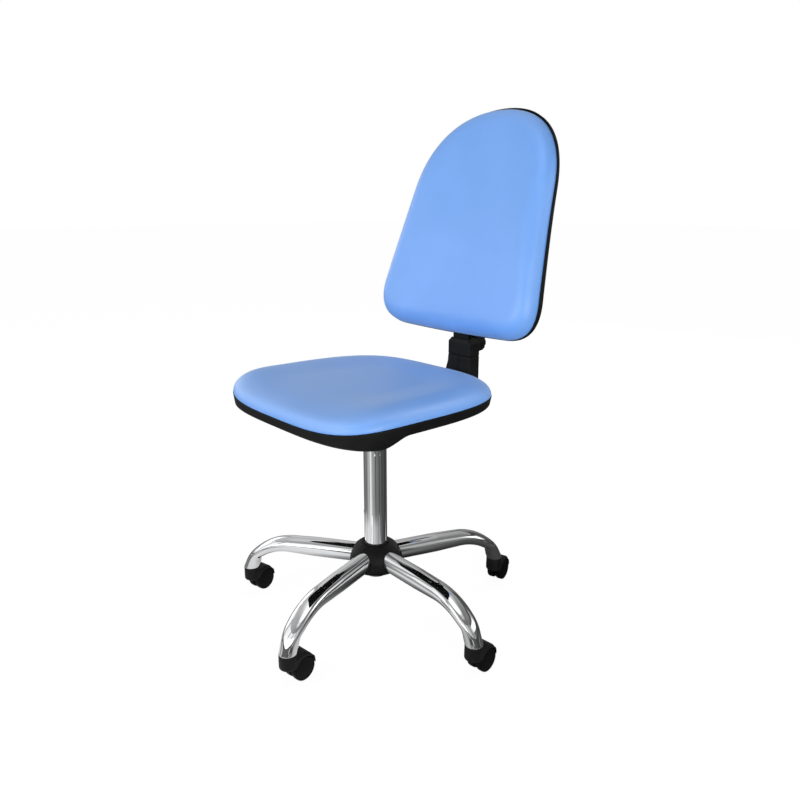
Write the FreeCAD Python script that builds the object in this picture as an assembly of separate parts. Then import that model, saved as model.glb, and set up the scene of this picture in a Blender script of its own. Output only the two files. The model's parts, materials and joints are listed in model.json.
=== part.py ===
import FreeCAD, Part
import math
import os

# Doctor chair in millimetres: floor at z = 0, column on the Z axis, the sitter faces -Y.

V = FreeCAD.Vector

# Clearances
RUN_GAP = 0.05          # radial, shaft in hole
WELD_GAP = 0.1          # fixed pieces that meet on curved faces
SLIDE_GAP = 0.3         # flat sliding faces
SOFT_GAP = 0.3          # foam to what carries it

# Levels that the rest is measured from
LEG_Z = 137.0           # middle of the legs at the hub
PAN_Z = 488.0           # underside of the seat pan's floor

# Casters
STEM_CIRCLE = 304.0
TRAIL_DIRECTIONS = (105.8, 115.0, 103.3, 97.8, 95.7)     # degrees, one for each leg
WHEEL_R = 25.0
WHEEL_W = 15.0
TRAIL = WHEEL_R + 2.0
WEB_T = 5.0
WHEEL_GAP = 0.6
WHEEL_ROUND = 2.5
WHEEL_DISH = (5.0, 1.2)      # rim width and depth of the outer face's recess
WHEEL_FACE = 3.5        # closed over the axle's end
HOOD_TOP = 2 * WHEEL_R + 7.4
HOOD_WALL = 2.2
HOOD_CLEAR = 0.8
HOOD_SIDE = 0.4         # hood beyond the wheel's face
HOOD_FLAT = 11.0        # flat round the stem
HOOD_CROWN = 2.2        # rise of the hood's top over that flat
HOOD_FALL = ((4.6, 68.0), (1.2, 38.0))    # beyond the hood's least radius, and degrees, behind the crown
HOOD_TAIL = 4.0         # degrees above the axle where the hood ends
HOOD_ROUND = 4.0
AXLE_BOSS = 4.5
NOSE_Z = WHEEL_R + 11.0
AXLE_R = 3.0
STEM_R = 5.5
SOCKET_R = 10.0
SOCKET_Z = (HOOD_TOP + 0.6, HOOD_TOP + 17.6)
STEM_Z = (NOSE_Z + 7.0, SOCKET_Z[1] - 2.0)

# Column and gas lift
TUBE_R = 25.0
TUBE_WALL = 2.0
TUBE_LENGTH = 299.5
TUBE_Z = (LEG_Z - 44.5, LEG_Z - 44.5 + TUBE_LENGTH)
TUBE_FLOOR = 4.0
GUIDE_LENGTH = 91.0
GUIDE_FLANGE = 1.2
CYL_R = 14.0
CYL_BORE = CYL_R - 2.0
CYL_LENGTH = 315.0
CYL_Z = (PAN_Z - 16.0 - CYL_LENGTH, PAN_Z - 16.0)
CYL_GLAND = 15.0
CYL_HEAD = 42.0
TAPER_Z = (PAN_Z - 52.0, PAN_Z - 14.0)
TAPER_R = CYL_R + 6.0
TAPER_DROP = 0.8
TAPER_LIP = 1.5         # ledge over the cylinder's top
ROD_R = 5.0
ROD_SHOULDER_R = 9.0
ROD_SHOULDER_T = 3.0
ROD_FOOT = 4.0          # rod below the clip
CLIP_T = 2.0
CLIP_DEPTH = 1.0
CLIP_R = 9.0
CLIP_DROP = 2.5         # groove below the tube's floor
PISTON_Z = (CYL_Z[0] + 173.0, CYL_Z[0] + 188.0)
PISTON_GAP = 0.1
SEAL_DEPTH = 2.0
SEAL_Z = (5.0, 9.0)     # above the piston's foot
BEARING_R = (7.0, 18.0)
WASHER_T = 2.0
BALL_R = 2.0
BALLS = 10
BUMP_R = 15.0
BUMP_TOP = TUBE_Z[0] + 22.0

# Base: hub and legs
LEGS = 5
FIRST_LEG = 70.4        # degrees
HUB_R = TUBE_R + 13.0
HUB_Z = (LEG_Z - 22.0, LEG_Z + 16.0)
LEG_WALL = 2.0
LEG_TIP_Z = SOCKET_Z[0] + 9.0
LEG_REACH = STEM_CIRCLE + 10.7
LEG_BEND_R = 128.0
LEG_END = 15.0          # straight run after the bend
# half width and half height of the leg at the hub, before the bend, along the bend and at the tip
LEG_ROOT = (21.5, 21.5)
LEG_BEFORE = 145.0
LEG_OVALS = ((0.0, 21.2, 19.0), (0.25, 21.0, 16.6), (0.5, 20.8, 14.0), (0.75, 20.2, 12.0), (1.0, 19.2, 10.6))
LEG_TIP = (18.4, 10.0)
DOME_RIM_R = HUB_R + 18.0
DOME_RIM_Z = LEG_Z - 20.0
DOME_TOP_R = TUBE_R + 5.0
DOME_TOP_Z = LEG_Z + 31.0
DOME_SWELL = 0.75
DOME_WALL = 2.5
DOME_SCALLOP = 0.6
CAP_T = 2.5
CAP_INSET = 1.0
COLLAR = (3.0, 3.0)      # wall and height of the lip round the column

# Seat
SEAT_HALF = 239.4
SEAT_FRONT = -245.8
SEAT_REAR = 195.8
SEAT_WIDE_Y = -108.6    # where the seat is widest
SEAT_POWER = (3.4, 3.6)     # roundness of the front and the rear of the outline
RIM_Z = PAN_Z + 30.9    # seam between cushion and pan above the column
RIM_SLOPE = math.tan(math.radians(1.03))
RIM_DROP = 18.6         # the seam comes down at the front
CROWN = 30.0
CROWN_ROUND = 45.0
DISH = 5.0
DISH_FALL = 0.67        # part of the front's fall left at the dish's edge
CROWN_INSETS = (2.5, 8.0, 20.0)
DISH_INSETS = (90.0, 130.0)
SEAM_INSET = 0.8
SEAM_RISE = 1.2
LIP_INSET = 4.0         # the cushion rests on the rim inside this
LIP_RISE = 0.2
UNDER_INSET = 18.0
UNDER_SHARE = 0.4
RIM_STEP = 0.3          # pan and shell end this far from the seam
PAN_WALL = 2.5
PAN_SKIRT = 23.0
PAN_FRONT_DEEPER = 19.0
PAN_STEP_Y = (-132.0, -180.0)
PAN_FLOOR_INSET = 62.0
PAN_EDGE_INSET = 13.0
PAN_TURN_INSET = 4.0
PAN_TURN_RISE = 4.0
BOARD_Z = (PAN_Z + 9.0, PAN_Z + 19.0)
BOARD_INSET = 34.0
BOARD_LAP = 2.0         # foam set in from the board's edge

# Mechanism under the seat
PLATE_T = 2.5
PLATE_HALF_X = 64.0
PLATE_ROUND = 8.0
HINGE_Y = 95.0
HINGE_Z = PAN_Z - 26.0
HINGE_R = 6.0
PLATE_Y = (-78.0, HINGE_Y + 19.0)
CHEEK_X = 37.0
CHEEK_Z = PAN_Z - 41.0
CHEEK_Y = (-50.0, HINGE_Y + 17.0)
BOLT_X = 50.0
BOLT_Y = (-60.0, HINGE_Y - 7.0)
BOLT_R = 4.0
BOLT_HEAD = (6.4, 4.5)
INSERT_R = 6.0
INSERT_FLANGE = (11.0, 1.6)
BOSS_R = 13.0
ARM_X = SEAT_HALF - 89.4     # threaded places for armrests
ARM_Y = (-40.0, 60.0)
ARM_HOLE_R = 4.25
LEVER_R = 4.0
LEVER_Z = PAN_Z - 8.0
LEVER_PIVOT = (-30.0, LEVER_Z - 2.0)      # x, z
LEVER_LOW_Z = HINGE_Z
LEVER_KNEE_X = (-44.0, -84.0)
LEVER_END_X = 31.4 - SEAT_HALF
GRIP_X = (LEVER_END_X - 46.0, LEVER_END_X + 14.0)
GRIP_HALF_Y = 15.0
GRIP_T = 12.0
GRIP_ROUND = 4.0
PIN_R = 2.0
PIN_Z = (CYL_Z[1] - 32.0, LEVER_Z - LEVER_R - SLIDE_GAP)
PIN_BORE_Z = PIN_Z[0] - 4.0
PIVOT_PIN_R = 3.0
PIVOT_PIN_HALF = 12.0
LUG_HALF_X = 5.0
LUG_Y = (8.0, 11.0)
LUG_DROP = 6.0
LEVER_BOSS = (6.0, 7.0, 5.5)
LEVER_BEND = 14.0
LEVER_TIP_X = 6.0
LEVER_HOLE = 2.0        # room round the lever in the cheek
BARREL_R = 11.0
BARREL_HALF = 30.0
DISC_R = 14.0
DISC_T = 2.0
TILT_HUB_X = (-60.0, -43.0)
TILT_HUB_R = 10.0
TILT_HUB_END = 2.0
HINGE_OVER = 4.0        # hinge pin beyond the far cheek
TILT_END_X = 37.4 - SEAT_HALF
TILT_GRIP_X = (TILT_END_X - 46.0, TILT_END_X + 10.0)
TILT_GRIP_Y = (HINGE_Y - 57.0, HINGE_Y + 9.0)

# Post
BAR_HALF = 20.0
BAR_T = 6.0
BAR_Y = 270.5           # front face of the upright part
BAR_BEND_R = 22.0
POST_HALF = 34.5
POST_Y = (BAR_Y - 17.5, BAR_Y + 17.2)
POST_BOTTOM_Z = HINGE_Z + BAR_T / 2 + BAR_BEND_R
POST_WAIST_Z = PAN_Z + 48.0
POST_SEAM_Z = PAN_Z + 64.6
POST_WAIST = (0.5, 0.8)      # wider and further forward at the waist than at the seam
POST_FLARE = (8.5, 9.5)      # the same at the bottom
POST_CORNER = 4.0
POST_GROOVE = 1.0
BLOCK_TOP = POST_SEAM_Z + 39.4
BLOCK_BEVEL = (6.0, 9.0)     # inward and up
BLOCK_SET_BACK = 2.0         # of the bevel in front
BAR_TOP = BLOCK_TOP + 63.0
KNOB_Z = POST_SEAM_Z + 24.4
KNOB_R = 23.0
KNOB_Y = (POST_Y[1] + 0.8, POST_Y[1] + 36.3)
KNOB_FLUTES = 8
STUD_R = 4.0
STUD_IN_KNOB = 14.0
KNOB_ROUND = 4.0
FLUTE_R = 4.5
FLUTE_OUT = 3.2
FLUTE_START = 4.0

# Backrest
STRAP_HALF = 23.0
STRAP_T = 4.0
STRAP_Y = BAR_Y - 11.5
STRAP_TOP = 235.0
STRAP_FOOT_Z = POST_SEAM_Z + 5.0
BACK_Y = STRAP_Y - 20.6     # bottom of the back's seam line
BACK_Z = BLOCK_TOP + 20.8
BACK_LEAN = math.radians(17.86)
BACK_HEIGHT = 501.6
BACK_HALF_LOW = 239.0
BACK_HALF_HIGH = 198.4
BACK_SHOULDER = 317.0
BACK_CORNER = 85.0
BACK_BELLY = 5.2        # the bottom edge bows down
BACK_CURVE = 2.49e-4    # forward rise of the sides, times the square of the distance from the middle
BACK_LUMBAR = 10.2
BACK_PAD = 42.0
BACK_ROUND = 36.0
PAD_INSETS = (2.8, 7.5, 17.5)
PAD_FACE = ((62.0, 2.0, 0.7), (105.0, 8.0, 0.0))      # inset, rise, share of the bow
PAD_REAR = (45.0, 1.6, 0.85)
PAD_LIP = 3.2
SHELL_DEPTH = 13.0
SHELL_WALL = 2.5
SHELL_FLAT = 92.0       # inset of the flat middle of the shell
SHELL_TURN = ((45.0, 1.0, 0.8), (9.0, 3.0, 1.0), (2.0, 6.5, 1.0))      # inset, rise, share of the bow
BACK_BOARD_LAP = 6.0
BACK_BOARD_T = 8.0
SCREW_T = 14.0          # half the distance across
SCREW_S = (STRAP_TOP - 85.0, STRAP_TOP - 20.0)
SCREW_R = 2.5
SCREW_HEAD = (5.0, 2.5)
SCREW_BITE = 7.0        # into the board


def cyl(radius, low, high, x=0.0, y=0.0):
    return Part.makeCylinder(radius, high - low, V(x, y, low))


def ring(outer, inner, low, high, x=0.0, y=0.0):
    return cyl(outer, low, high, x, y).cut(cyl(inner, low - 1, high + 1, x, y))


def cyl_x(radius, low, high, y, z):
    return Part.makeCylinder(radius, high - low, V(low, y, z), V(1, 0, 0))


def cyl_y(radius, low, high, x, z):
    return Part.makeCylinder(radius, high - low, V(x, low, z), V(0, 1, 0))


def box(x, y, z):
    return Part.makeBox(x[1] - x[0], y[1] - y[0], z[1] - z[0], V(x[0], y[0], z[0]))


def turned(shape, degrees, about=V(0, 0, 0), axis=V(0, 0, 1)):
    copy = shape.copy()
    copy.rotate(about, axis, degrees)
    return copy


def moved(shape, x, y, z):
    copy = shape.copy()
    copy.translate(V(x, y, z))
    return copy


def span(start, middle, end):
    """Arc through three points, or a line where they lie in one row."""
    if (middle - (start + end) * 0.5).Length < 0.01:
        return Part.LineSegment(start, end).toShape()
    return Part.Arc(start, middle, end).toShape()


def loop(points):
    """Closed wire of arcs, each through three points of an even list."""
    count = len(points)
    spans = []
    for i in range(0, count, 2):
        spans.append(span(points[i], points[i + 1], points[(i + 2) % count]))
    return Part.Wire(spans)


def skin(wires):
    """Solid through a row of wires, straight between neighbours; the first and the last are flat."""
    return Part.makeLoft(wires, True, True)


def path_wire(points, radius):
    """Straight runs joined by tangent arcs of one radius."""
    edges = []
    start = points[0]
    for i in range(1, len(points) - 1):
        into = (points[i] - points[i - 1]).normalize()
        out = (points[i + 1] - points[i]).normalize()
        half = into.getAngle(out) / 2
        reach = radius * math.tan(half)
        first = points[i] - into * reach
        last = points[i] + out * reach
        inward = (out - into).normalize()
        middle = points[i] + inward * (radius / math.cos(half) - radius)
        edges.append(Part.LineSegment(start, first).toShape())
        edges.append(Part.Arc(first, middle, last).toShape())
        start = last
    edges.append(Part.LineSegment(start, points[-1]).toShape())
    return Part.Wire(edges)


def rod_along(points, radius, bend):
    path = path_wire(points, bend)
    across = (points[1] - points[0]).normalize()
    section = Part.Wire([Part.Circle(points[0], across, radius).toShape()])
    return path.makePipeShell([section], True, False)


# Legs: the bend turns until the straight run after it ends at the tip

leg_drop = LEG_Z - LEG_TIP_Z
leg_arm = math.hypot(LEG_BEND_R, LEG_END)
LEG_BEND = math.atan2(LEG_BEND_R, LEG_END) + math.asin((leg_drop - LEG_BEND_R) / leg_arm)
LEG_BEND_START = LEG_REACH - LEG_BEND_R * math.sin(LEG_BEND) - LEG_END * math.cos(LEG_BEND)


def leg_station(distance_along):
    """Middle point and fall angle of the leg at a fraction of its bend."""
    angle = LEG_BEND * distance_along
    reach = LEG_BEND_START + LEG_BEND_R * math.sin(angle)
    height = LEG_Z - LEG_BEND_R * (1 - math.cos(angle))
    return reach, height, angle


def leg_oval(reach, height, angle, half_width, half_height):
    """Oval section square to the leg's run, as eight arcs."""
    points = []
    for i in range(16):
        turn = 2 * math.pi * i / 16
        side = half_width * math.cos(turn)
        lift = half_height * math.sin(turn)
        points.append(V(reach + lift * math.sin(angle), side, height + lift * math.cos(angle)))
    return loop(points)


def leg_body(shrink):
    wires = []
    inner_end = HUB_R * 0.5
    for reach in (inner_end, LEG_BEFORE * 0.6, LEG_BEFORE):
        wires.append(leg_oval(reach, LEG_Z, 0.0, LEG_ROOT[0] - shrink, LEG_ROOT[1] - shrink))
    for fraction, half_width, half_height in LEG_OVALS:
        reach, height, angle = leg_station(fraction)
        wires.append(leg_oval(reach, height, angle, half_width - shrink, half_height - shrink))
    length = LEG_END + (2.0 if shrink > 0 else 0.0)
    end_reach = reach + length * math.cos(angle)
    end_height = height - length * math.sin(angle)
    wires.append(leg_oval(end_reach, end_height, angle, LEG_TIP[0] - shrink, LEG_TIP[1] - shrink))
    return Part.makeLoft(wires, True, False)


leg_outer = leg_body(0.0)
leg_inner = leg_body(LEG_WALL)
leg = leg_outer.cut(leg_inner)
leg = leg.cut(cyl(HUB_R + WELD_GAP, 0, 2 * LEG_Z))
leg = leg.cut(cyl(SOCKET_R + WELD_GAP, 0, SOCKET_Z[1] + WELD_GAP, STEM_CIRCLE, 0))
leg = leg.Solids[0]
socket = ring(SOCKET_R, STEM_R + RUN_GAP, SOCKET_Z[0], SOCKET_Z[1], STEM_CIRCLE, 0)

# Hub

hub_core = ring(HUB_R, TUBE_R + RUN_GAP, HUB_Z[0], HUB_Z[1])


def dome(inset):
    """Solid of the dome, its wall an arc from the rim to the top."""
    rim = V(DOME_RIM_R - inset, 0, DOME_RIM_Z)
    top = V(DOME_TOP_R - inset, 0, DOME_TOP_Z - inset)
    middle = V(DOME_TOP_R + (DOME_RIM_R - DOME_TOP_R) * DOME_SWELL - inset, 0,
               DOME_RIM_Z + (DOME_TOP_Z - DOME_RIM_Z) * DOME_SWELL - inset)
    low = V(0, 0, DOME_RIM_Z)
    high = V(0, 0, DOME_TOP_Z - inset)
    wire = Part.Wire([Part.LineSegment(low, rim).toShape(), Part.Arc(rim, middle, top).toShape(),
                      Part.LineSegment(top, high).toShape(), Part.LineSegment(high, low).toShape()])
    return Part.Face(wire).revolve(V(0, 0, 0), V(0, 0, 1), 360)


hub_cover = dome(0.0).cut(dome(DOME_WALL))
hub_cover = hub_cover.cut(cyl(TUBE_R + WELD_GAP, DOME_RIM_Z, DOME_TOP_Z + 1))
collar = ring(TUBE_R + COLLAR[0], TUBE_R + WELD_GAP, DOME_TOP_Z - DOME_WALL, DOME_TOP_Z + COLLAR[1])
hub_cover = hub_cover.fuse(collar)
hub_cap = ring(DOME_RIM_R - CAP_INSET, TUBE_R + WELD_GAP, HUB_Z[0] - CAP_T, HUB_Z[0])
scallop = Part.makeCylinder(LEG_ROOT[0] + DOME_SCALLOP, 80, V(HUB_R * 0.6, 0, LEG_Z), V(1, 0, 0))
for k in range(LEGS):
    hub_cover = hub_cover.cut(turned(scallop, FIRST_LEG + 360 / LEGS * k))
hub_cover = max(hub_cover.Solids, key=lambda s: s.Volume)

# Column and gas lift

column_tube = ring(TUBE_R, TUBE_R - TUBE_WALL, TUBE_Z[0] + TUBE_FLOOR, TUBE_Z[1])
column_tube = column_tube.fuse(ring(TUBE_R, ROD_R + 1.0, TUBE_Z[0], TUBE_Z[0] + TUBE_FLOOR))
column_tube = column_tube.removeSplitter()
guide_sleeve = cyl(TUBE_R - TUBE_WALL - RUN_GAP, TUBE_Z[1] - GUIDE_LENGTH, TUBE_Z[1])
guide_sleeve = guide_sleeve.fuse(cyl(TUBE_R, TUBE_Z[1], TUBE_Z[1] + GUIDE_FLANGE))
guide_sleeve = guide_sleeve.cut(cyl(CYL_R + RUN_GAP, 0, TUBE_Z[1] + 10)).removeSplitter()

bearing_z = TUBE_Z[0] + TUBE_FLOOR
ball_z = bearing_z + WASHER_T + BALL_R + RUN_GAP
bearing = [ring(BEARING_R[1], BEARING_R[0], bearing_z, bearing_z + WASHER_T)]
upper_z = ball_z + BALL_R + RUN_GAP
bearing.append(ring(BEARING_R[1], BEARING_R[0], upper_z, upper_z + WASHER_T))
for k in range(BALLS):
    ball = Part.makeSphere(BALL_R, V((BEARING_R[0] + BEARING_R[1]) / 2, 0, ball_z))
    bearing.append(turned(ball, 360 / BALLS * k))
shoulder_z = upper_z + WASHER_T + RUN_GAP
clip_z = TUBE_Z[0] - CLIP_DROP
rod = cyl(ROD_R, clip_z - ROD_FOOT, PISTON_Z[0])
rod = rod.fuse(cyl(ROD_SHOULDER_R, shoulder_z, shoulder_z + ROD_SHOULDER_T)).removeSplitter()
rod = rod.cut(ring(ROD_R + 1, ROD_R - CLIP_DEPTH, clip_z, clip_z + CLIP_T))
clip = ring(CLIP_R, ROD_R - CLIP_DEPTH + RUN_GAP, clip_z + RUN_GAP, clip_z + CLIP_T - RUN_GAP)
piston = cyl(CYL_BORE - PISTON_GAP, PISTON_Z[0], PISTON_Z[1])
seal_groove = ring(CYL_BORE, CYL_BORE - SEAL_DEPTH, PISTON_Z[0] + SEAL_Z[0], PISTON_Z[0] + SEAL_Z[1])
piston = piston.cut(seal_groove)
bump_stop = ring(BUMP_R, ROD_R + RUN_GAP, shoulder_z + ROD_SHOULDER_T, BUMP_TOP)

taper_foot = TAPER_Z[0]
cylinder = cyl(CYL_R, CYL_Z[0], taper_foot)
taper_length = CYL_Z[1] - taper_foot
cylinder = cylinder.fuse(Part.makeCone(CYL_R, CYL_R - TAPER_DROP, taper_length, V(0, 0, taper_foot)))
cylinder = cylinder.cut(cyl(CYL_BORE, CYL_Z[0] + CYL_GLAND, CYL_Z[1] - CYL_HEAD))
cylinder = cylinder.cut(cyl(ROD_R + RUN_GAP, CYL_Z[0] - 1, CYL_Z[0] + CYL_GLAND + 1))
gas_cylinder = cylinder.cut(cyl(PIN_R + RUN_GAP, PIN_BORE_Z, CYL_Z[1] + 1)).removeSplitter()
release_pin = cyl(PIN_R, PIN_Z[0], PIN_Z[1])

taper_socket = cyl(TAPER_R, TAPER_Z[0], TAPER_Z[1])
taper_hole = Part.makeCone(CYL_R + RUN_GAP, CYL_R - TAPER_DROP + RUN_GAP, taper_length, V(0, 0, taper_foot))
taper_socket = taper_socket.cut(taper_hole)
taper_socket = taper_socket.cut(cyl(CYL_R - TAPER_DROP - TAPER_LIP, CYL_Z[1] - 1, TAPER_Z[1] + 1))

# Seat

SEAT_STEPS = 32


def seat_plan(inset):
    """Points of the seat's outline, drawn in by an inset, from the right side round to the rear."""
    points = []
    for i in range(SEAT_STEPS):
        turn = 2 * math.pi * i / SEAT_STEPS
        c = math.cos(turn)
        s = math.sin(turn)
        power = SEAT_POWER[1] if s > 0 else SEAT_POWER[0]
        depth = SEAT_REAR - SEAT_WIDE_Y if s > 0 else SEAT_WIDE_Y - SEAT_FRONT
        x = (SEAT_HALF - inset) * math.copysign(abs(c) ** (2 / power), c)
        y = SEAT_WIDE_Y + (depth - inset) * math.copysign(abs(s) ** (2 / power), s)
        points.append((x, y))
    return points


def rim_line(y):
    return RIM_Z - RIM_SLOPE * y


def rim_drop(y):
    u = min(max((SEAT_WIDE_Y - y) / (SEAT_WIDE_Y - SEAT_FRONT), 0.0), 1.0)
    return RIM_DROP * u ** 3


def skirt_z(y):
    u = min(max((y - PAN_STEP_Y[0]) / (PAN_STEP_Y[1] - PAN_STEP_Y[0]), 0.0), 1.0)
    return rim_line(y) - PAN_SKIRT - PAN_FRONT_DEEPER * u * u * (3 - 2 * u)


def seat_loop(inset, height):
    """Closed wire at an inset; height gives z from the seam point's own y and the point's y."""
    outer = seat_plan(0.0)
    points = []
    for (x, y), (ox, oy) in zip(seat_plan(inset), outer):
        points.append(V(x, y, height(oy, y)))
    return loop(points)


def rim_at(rise):
    return lambda oy, y: rim_line(oy) - rim_drop(oy) + rise


def flat_at(z):
    return lambda oy, y: z


def skirt_at(rise):
    return lambda oy, y: skirt_z(oy) + rise


def under_at(share):
    low = BOARD_Z[1] + SOFT_GAP
    return lambda oy, y: low + share * (rim_line(oy) - rim_drop(oy) - low)


def dish_at(share):
    """Top of the cushion where it sinks by a share of the dish and evens out the front's fall."""
    return lambda oy, y: rim_line(y) - (1 - share) * DISH_FALL * rim_drop(y) + CROWN - share * DISH


def crown_rise(inset):
    return CROWN * math.sqrt(1 - (1 - min(inset, CROWN_ROUND) / CROWN_ROUND) ** 2)


cushion_wires = [seat_loop(BOARD_INSET + BOARD_LAP, under_at(0.0)),
                 seat_loop(UNDER_INSET, under_at(UNDER_SHARE)),
                 seat_loop(LIP_INSET, rim_at(LIP_RISE)),
                 seat_loop(SEAM_INSET, rim_at(SEAM_RISE))]
for inset in CROWN_INSETS + (CROWN_ROUND,):
    cushion_wires.append(seat_loop(inset, rim_at(crown_rise(inset))))
for inset, share in zip(DISH_INSETS, (0.4, 1.0)):
    cushion_wires.append(seat_loop(inset, dish_at(share)))
seat_cushion = skin(cushion_wires)


def pan_row(wall):
    """Wires of one face of the pan, from its flat floor to the rim."""
    return [seat_loop(PAN_FLOOR_INSET + wall, flat_at(PAN_Z + wall)),
            seat_loop(PAN_EDGE_INSET + wall, skirt_at(wall)),
            seat_loop(PAN_TURN_INSET + wall, skirt_at(PAN_TURN_RISE + wall)),
            seat_loop(wall, rim_at(-RIM_STEP))]


seat_pan = skin(pan_row(0.0) + pan_row(PAN_WALL)[::-1])
board_face = Part.Face(seat_loop(BOARD_INSET, flat_at(BOARD_Z[0])))
seat_board = board_face.extrude(V(0, 0, BOARD_Z[1] - BOARD_Z[0]))

bolt_places = [(x, y) for x in (-BOLT_X, BOLT_X) for y in BOLT_Y]
arm_places = [(x, y) for x in (-ARM_X, ARM_X) for y in ARM_Y]
flange_z = BOARD_Z[1] - INSERT_FLANGE[1]
seat_bolts = []
seat_inserts = []
for x, y in bolt_places + arm_places:
    boss = cyl(BOSS_R, PAN_Z + PAN_WALL * 0.5, BOARD_Z[0], x, y)
    seat_pan = seat_pan.fuse(boss)
for x, y in bolt_places + arm_places:
    is_arm = (x, y) in arm_places
    hole_r = ARM_HOLE_R if is_arm else BOLT_R + RUN_GAP
    foot = PAN_Z if is_arm else BOARD_Z[0]
    insert = cyl(INSERT_R, foot, BOARD_Z[1], x, y)
    insert = insert.fuse(cyl(INSERT_FLANGE[0], flange_z, BOARD_Z[1], x, y))
    seat_inserts.append(insert.cut(cyl(hole_r, foot - 1, BOARD_Z[1] + 1, x, y)).removeSplitter())
    seat_board = seat_board.cut(cyl(INSERT_R + RUN_GAP, BOARD_Z[0] - 1, BOARD_Z[1], x, y))
    seat_board = seat_board.cut(cyl(INSERT_FLANGE[0] + RUN_GAP, flange_z, BOARD_Z[1] + 1, x, y))
    pan_hole = INSERT_R + RUN_GAP if is_arm else BOLT_R + RUN_GAP
    seat_pan = seat_pan.cut(cyl(pan_hole, PAN_Z - 1, BOARD_Z[0] + 1, x, y))
for x, y in bolt_places:
    bolt = cyl(BOLT_R, PAN_Z - PLATE_T, flange_z, x, y)
    head = cyl(BOLT_HEAD[0], PAN_Z - PLATE_T - BOLT_HEAD[1], PAN_Z - PLATE_T, x, y)
    seat_bolts.append(bolt.fuse(head).removeSplitter())
seat_pan = seat_pan.removeSplitter()

# Mechanism

plate_z = PAN_Z - PLATE_T
housing = box((-PLATE_HALF_X, PLATE_HALF_X), PLATE_Y, (plate_z, PAN_Z))
upright = [e for e in housing.Edges if abs(e.tangentAt(e.FirstParameter).z) > 0.9]
housing = housing.makeFillet(PLATE_ROUND, upright)
for side in (-1, 1):
    cheek = box(sorted((side * CHEEK_X, side * (CHEEK_X + PLATE_T))), CHEEK_Y, (CHEEK_Z, plate_z + 1))
    housing = housing.fuse(cheek)
    lug = box((LEVER_PIVOT[0] - LUG_HALF_X, LEVER_PIVOT[0] + LUG_HALF_X),
              sorted((side * LUG_Y[0], side * LUG_Y[1])), (LEVER_PIVOT[1] - LUG_DROP, plate_z + 1))
    housing = housing.fuse(lug)
web = box((-CHEEK_X - 1, CHEEK_X + 1), (CHEEK_Y[0], -CHEEK_Y[0]), (CHEEK_Z, CHEEK_Z + PLATE_T))
housing = housing.fuse(web).cut(cyl(TAPER_R + WELD_GAP, CHEEK_Z - 1, TAPER_Z[1]))
pivot_reach = PIVOT_PIN_HALF + 1
pivot_hole = cyl_y(PIVOT_PIN_R + RUN_GAP, -pivot_reach, pivot_reach, LEVER_PIVOT[0], LEVER_PIVOT[1])
housing = housing.cut(pivot_hole)
housing = housing.cut(cyl_x(HINGE_R + RUN_GAP, -PLATE_HALF_X, PLATE_HALF_X, HINGE_Y, HINGE_Z))
housing = housing.cut(cyl_x(LEVER_R + LEVER_HOLE, -CHEEK_X - PLATE_T - 1, -CHEEK_X + 1, 0, LEVER_Z))
for x, y in bolt_places:
    housing = housing.cut(cyl(BOLT_R + RUN_GAP, plate_z - 1, PAN_Z + 1, x, y))
housing = housing.removeSplitter()

pivot_pins = [cyl_y(PIVOT_PIN_R, -PIVOT_PIN_HALF, PIVOT_PIN_HALF, LEVER_PIVOT[0], LEVER_PIVOT[1]),
              cyl_x(HINGE_R, TILT_HUB_X[0] + TILT_HUB_END, CHEEK_X + PLATE_T + HINGE_OVER, HINGE_Y, HINGE_Z)]
friction_discs = []
for side in (-1, 1):
    for layer in range(2):
        near = BARREL_HALF + SLIDE_GAP + layer * (DISC_T + SLIDE_GAP)
        low, high = sorted((side * near, side * (near + DISC_T)))
        disc = cyl_x(DISC_R, low, high, HINGE_Y, HINGE_Z)
        friction_discs.append(disc.cut(cyl_x(HINGE_R + RUN_GAP, low - 1, high + 1, HINGE_Y, HINGE_Z)))

knee = [V(LEVER_TIP_X, 0, LEVER_Z), V(LEVER_KNEE_X[0], 0, LEVER_Z), V(LEVER_KNEE_X[1], 0, LEVER_LOW_Z),
        V(LEVER_END_X, 0, LEVER_LOW_Z)]
height_lever = rod_along(knee, LEVER_R, LEVER_BEND)
lever_boss = box((LEVER_PIVOT[0] - LEVER_BOSS[0], LEVER_PIVOT[0] + LEVER_BOSS[0]),
                 (-LEVER_BOSS[1], LEVER_BOSS[1]),
                 (LEVER_PIVOT[1] - LEVER_BOSS[2], LEVER_PIVOT[1] + LEVER_BOSS[2]))
height_lever = height_lever.fuse(lever_boss).cut(pivot_hole).removeSplitter()


def rounded_box(x, y, z, radius):
    body = box(x, y, z)
    return body.makeFillet(radius, body.Edges)


grip_z = (LEVER_LOW_Z - GRIP_T / 2, LEVER_LOW_Z + GRIP_T / 2)
height_grip = rounded_box(GRIP_X, (-GRIP_HALF_Y, GRIP_HALF_Y), grip_z, GRIP_ROUND)
height_grip = height_grip.cut(cyl_x(LEVER_R + RUN_GAP, LEVER_END_X - RUN_GAP, 0, 0, LEVER_LOW_Z))

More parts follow.
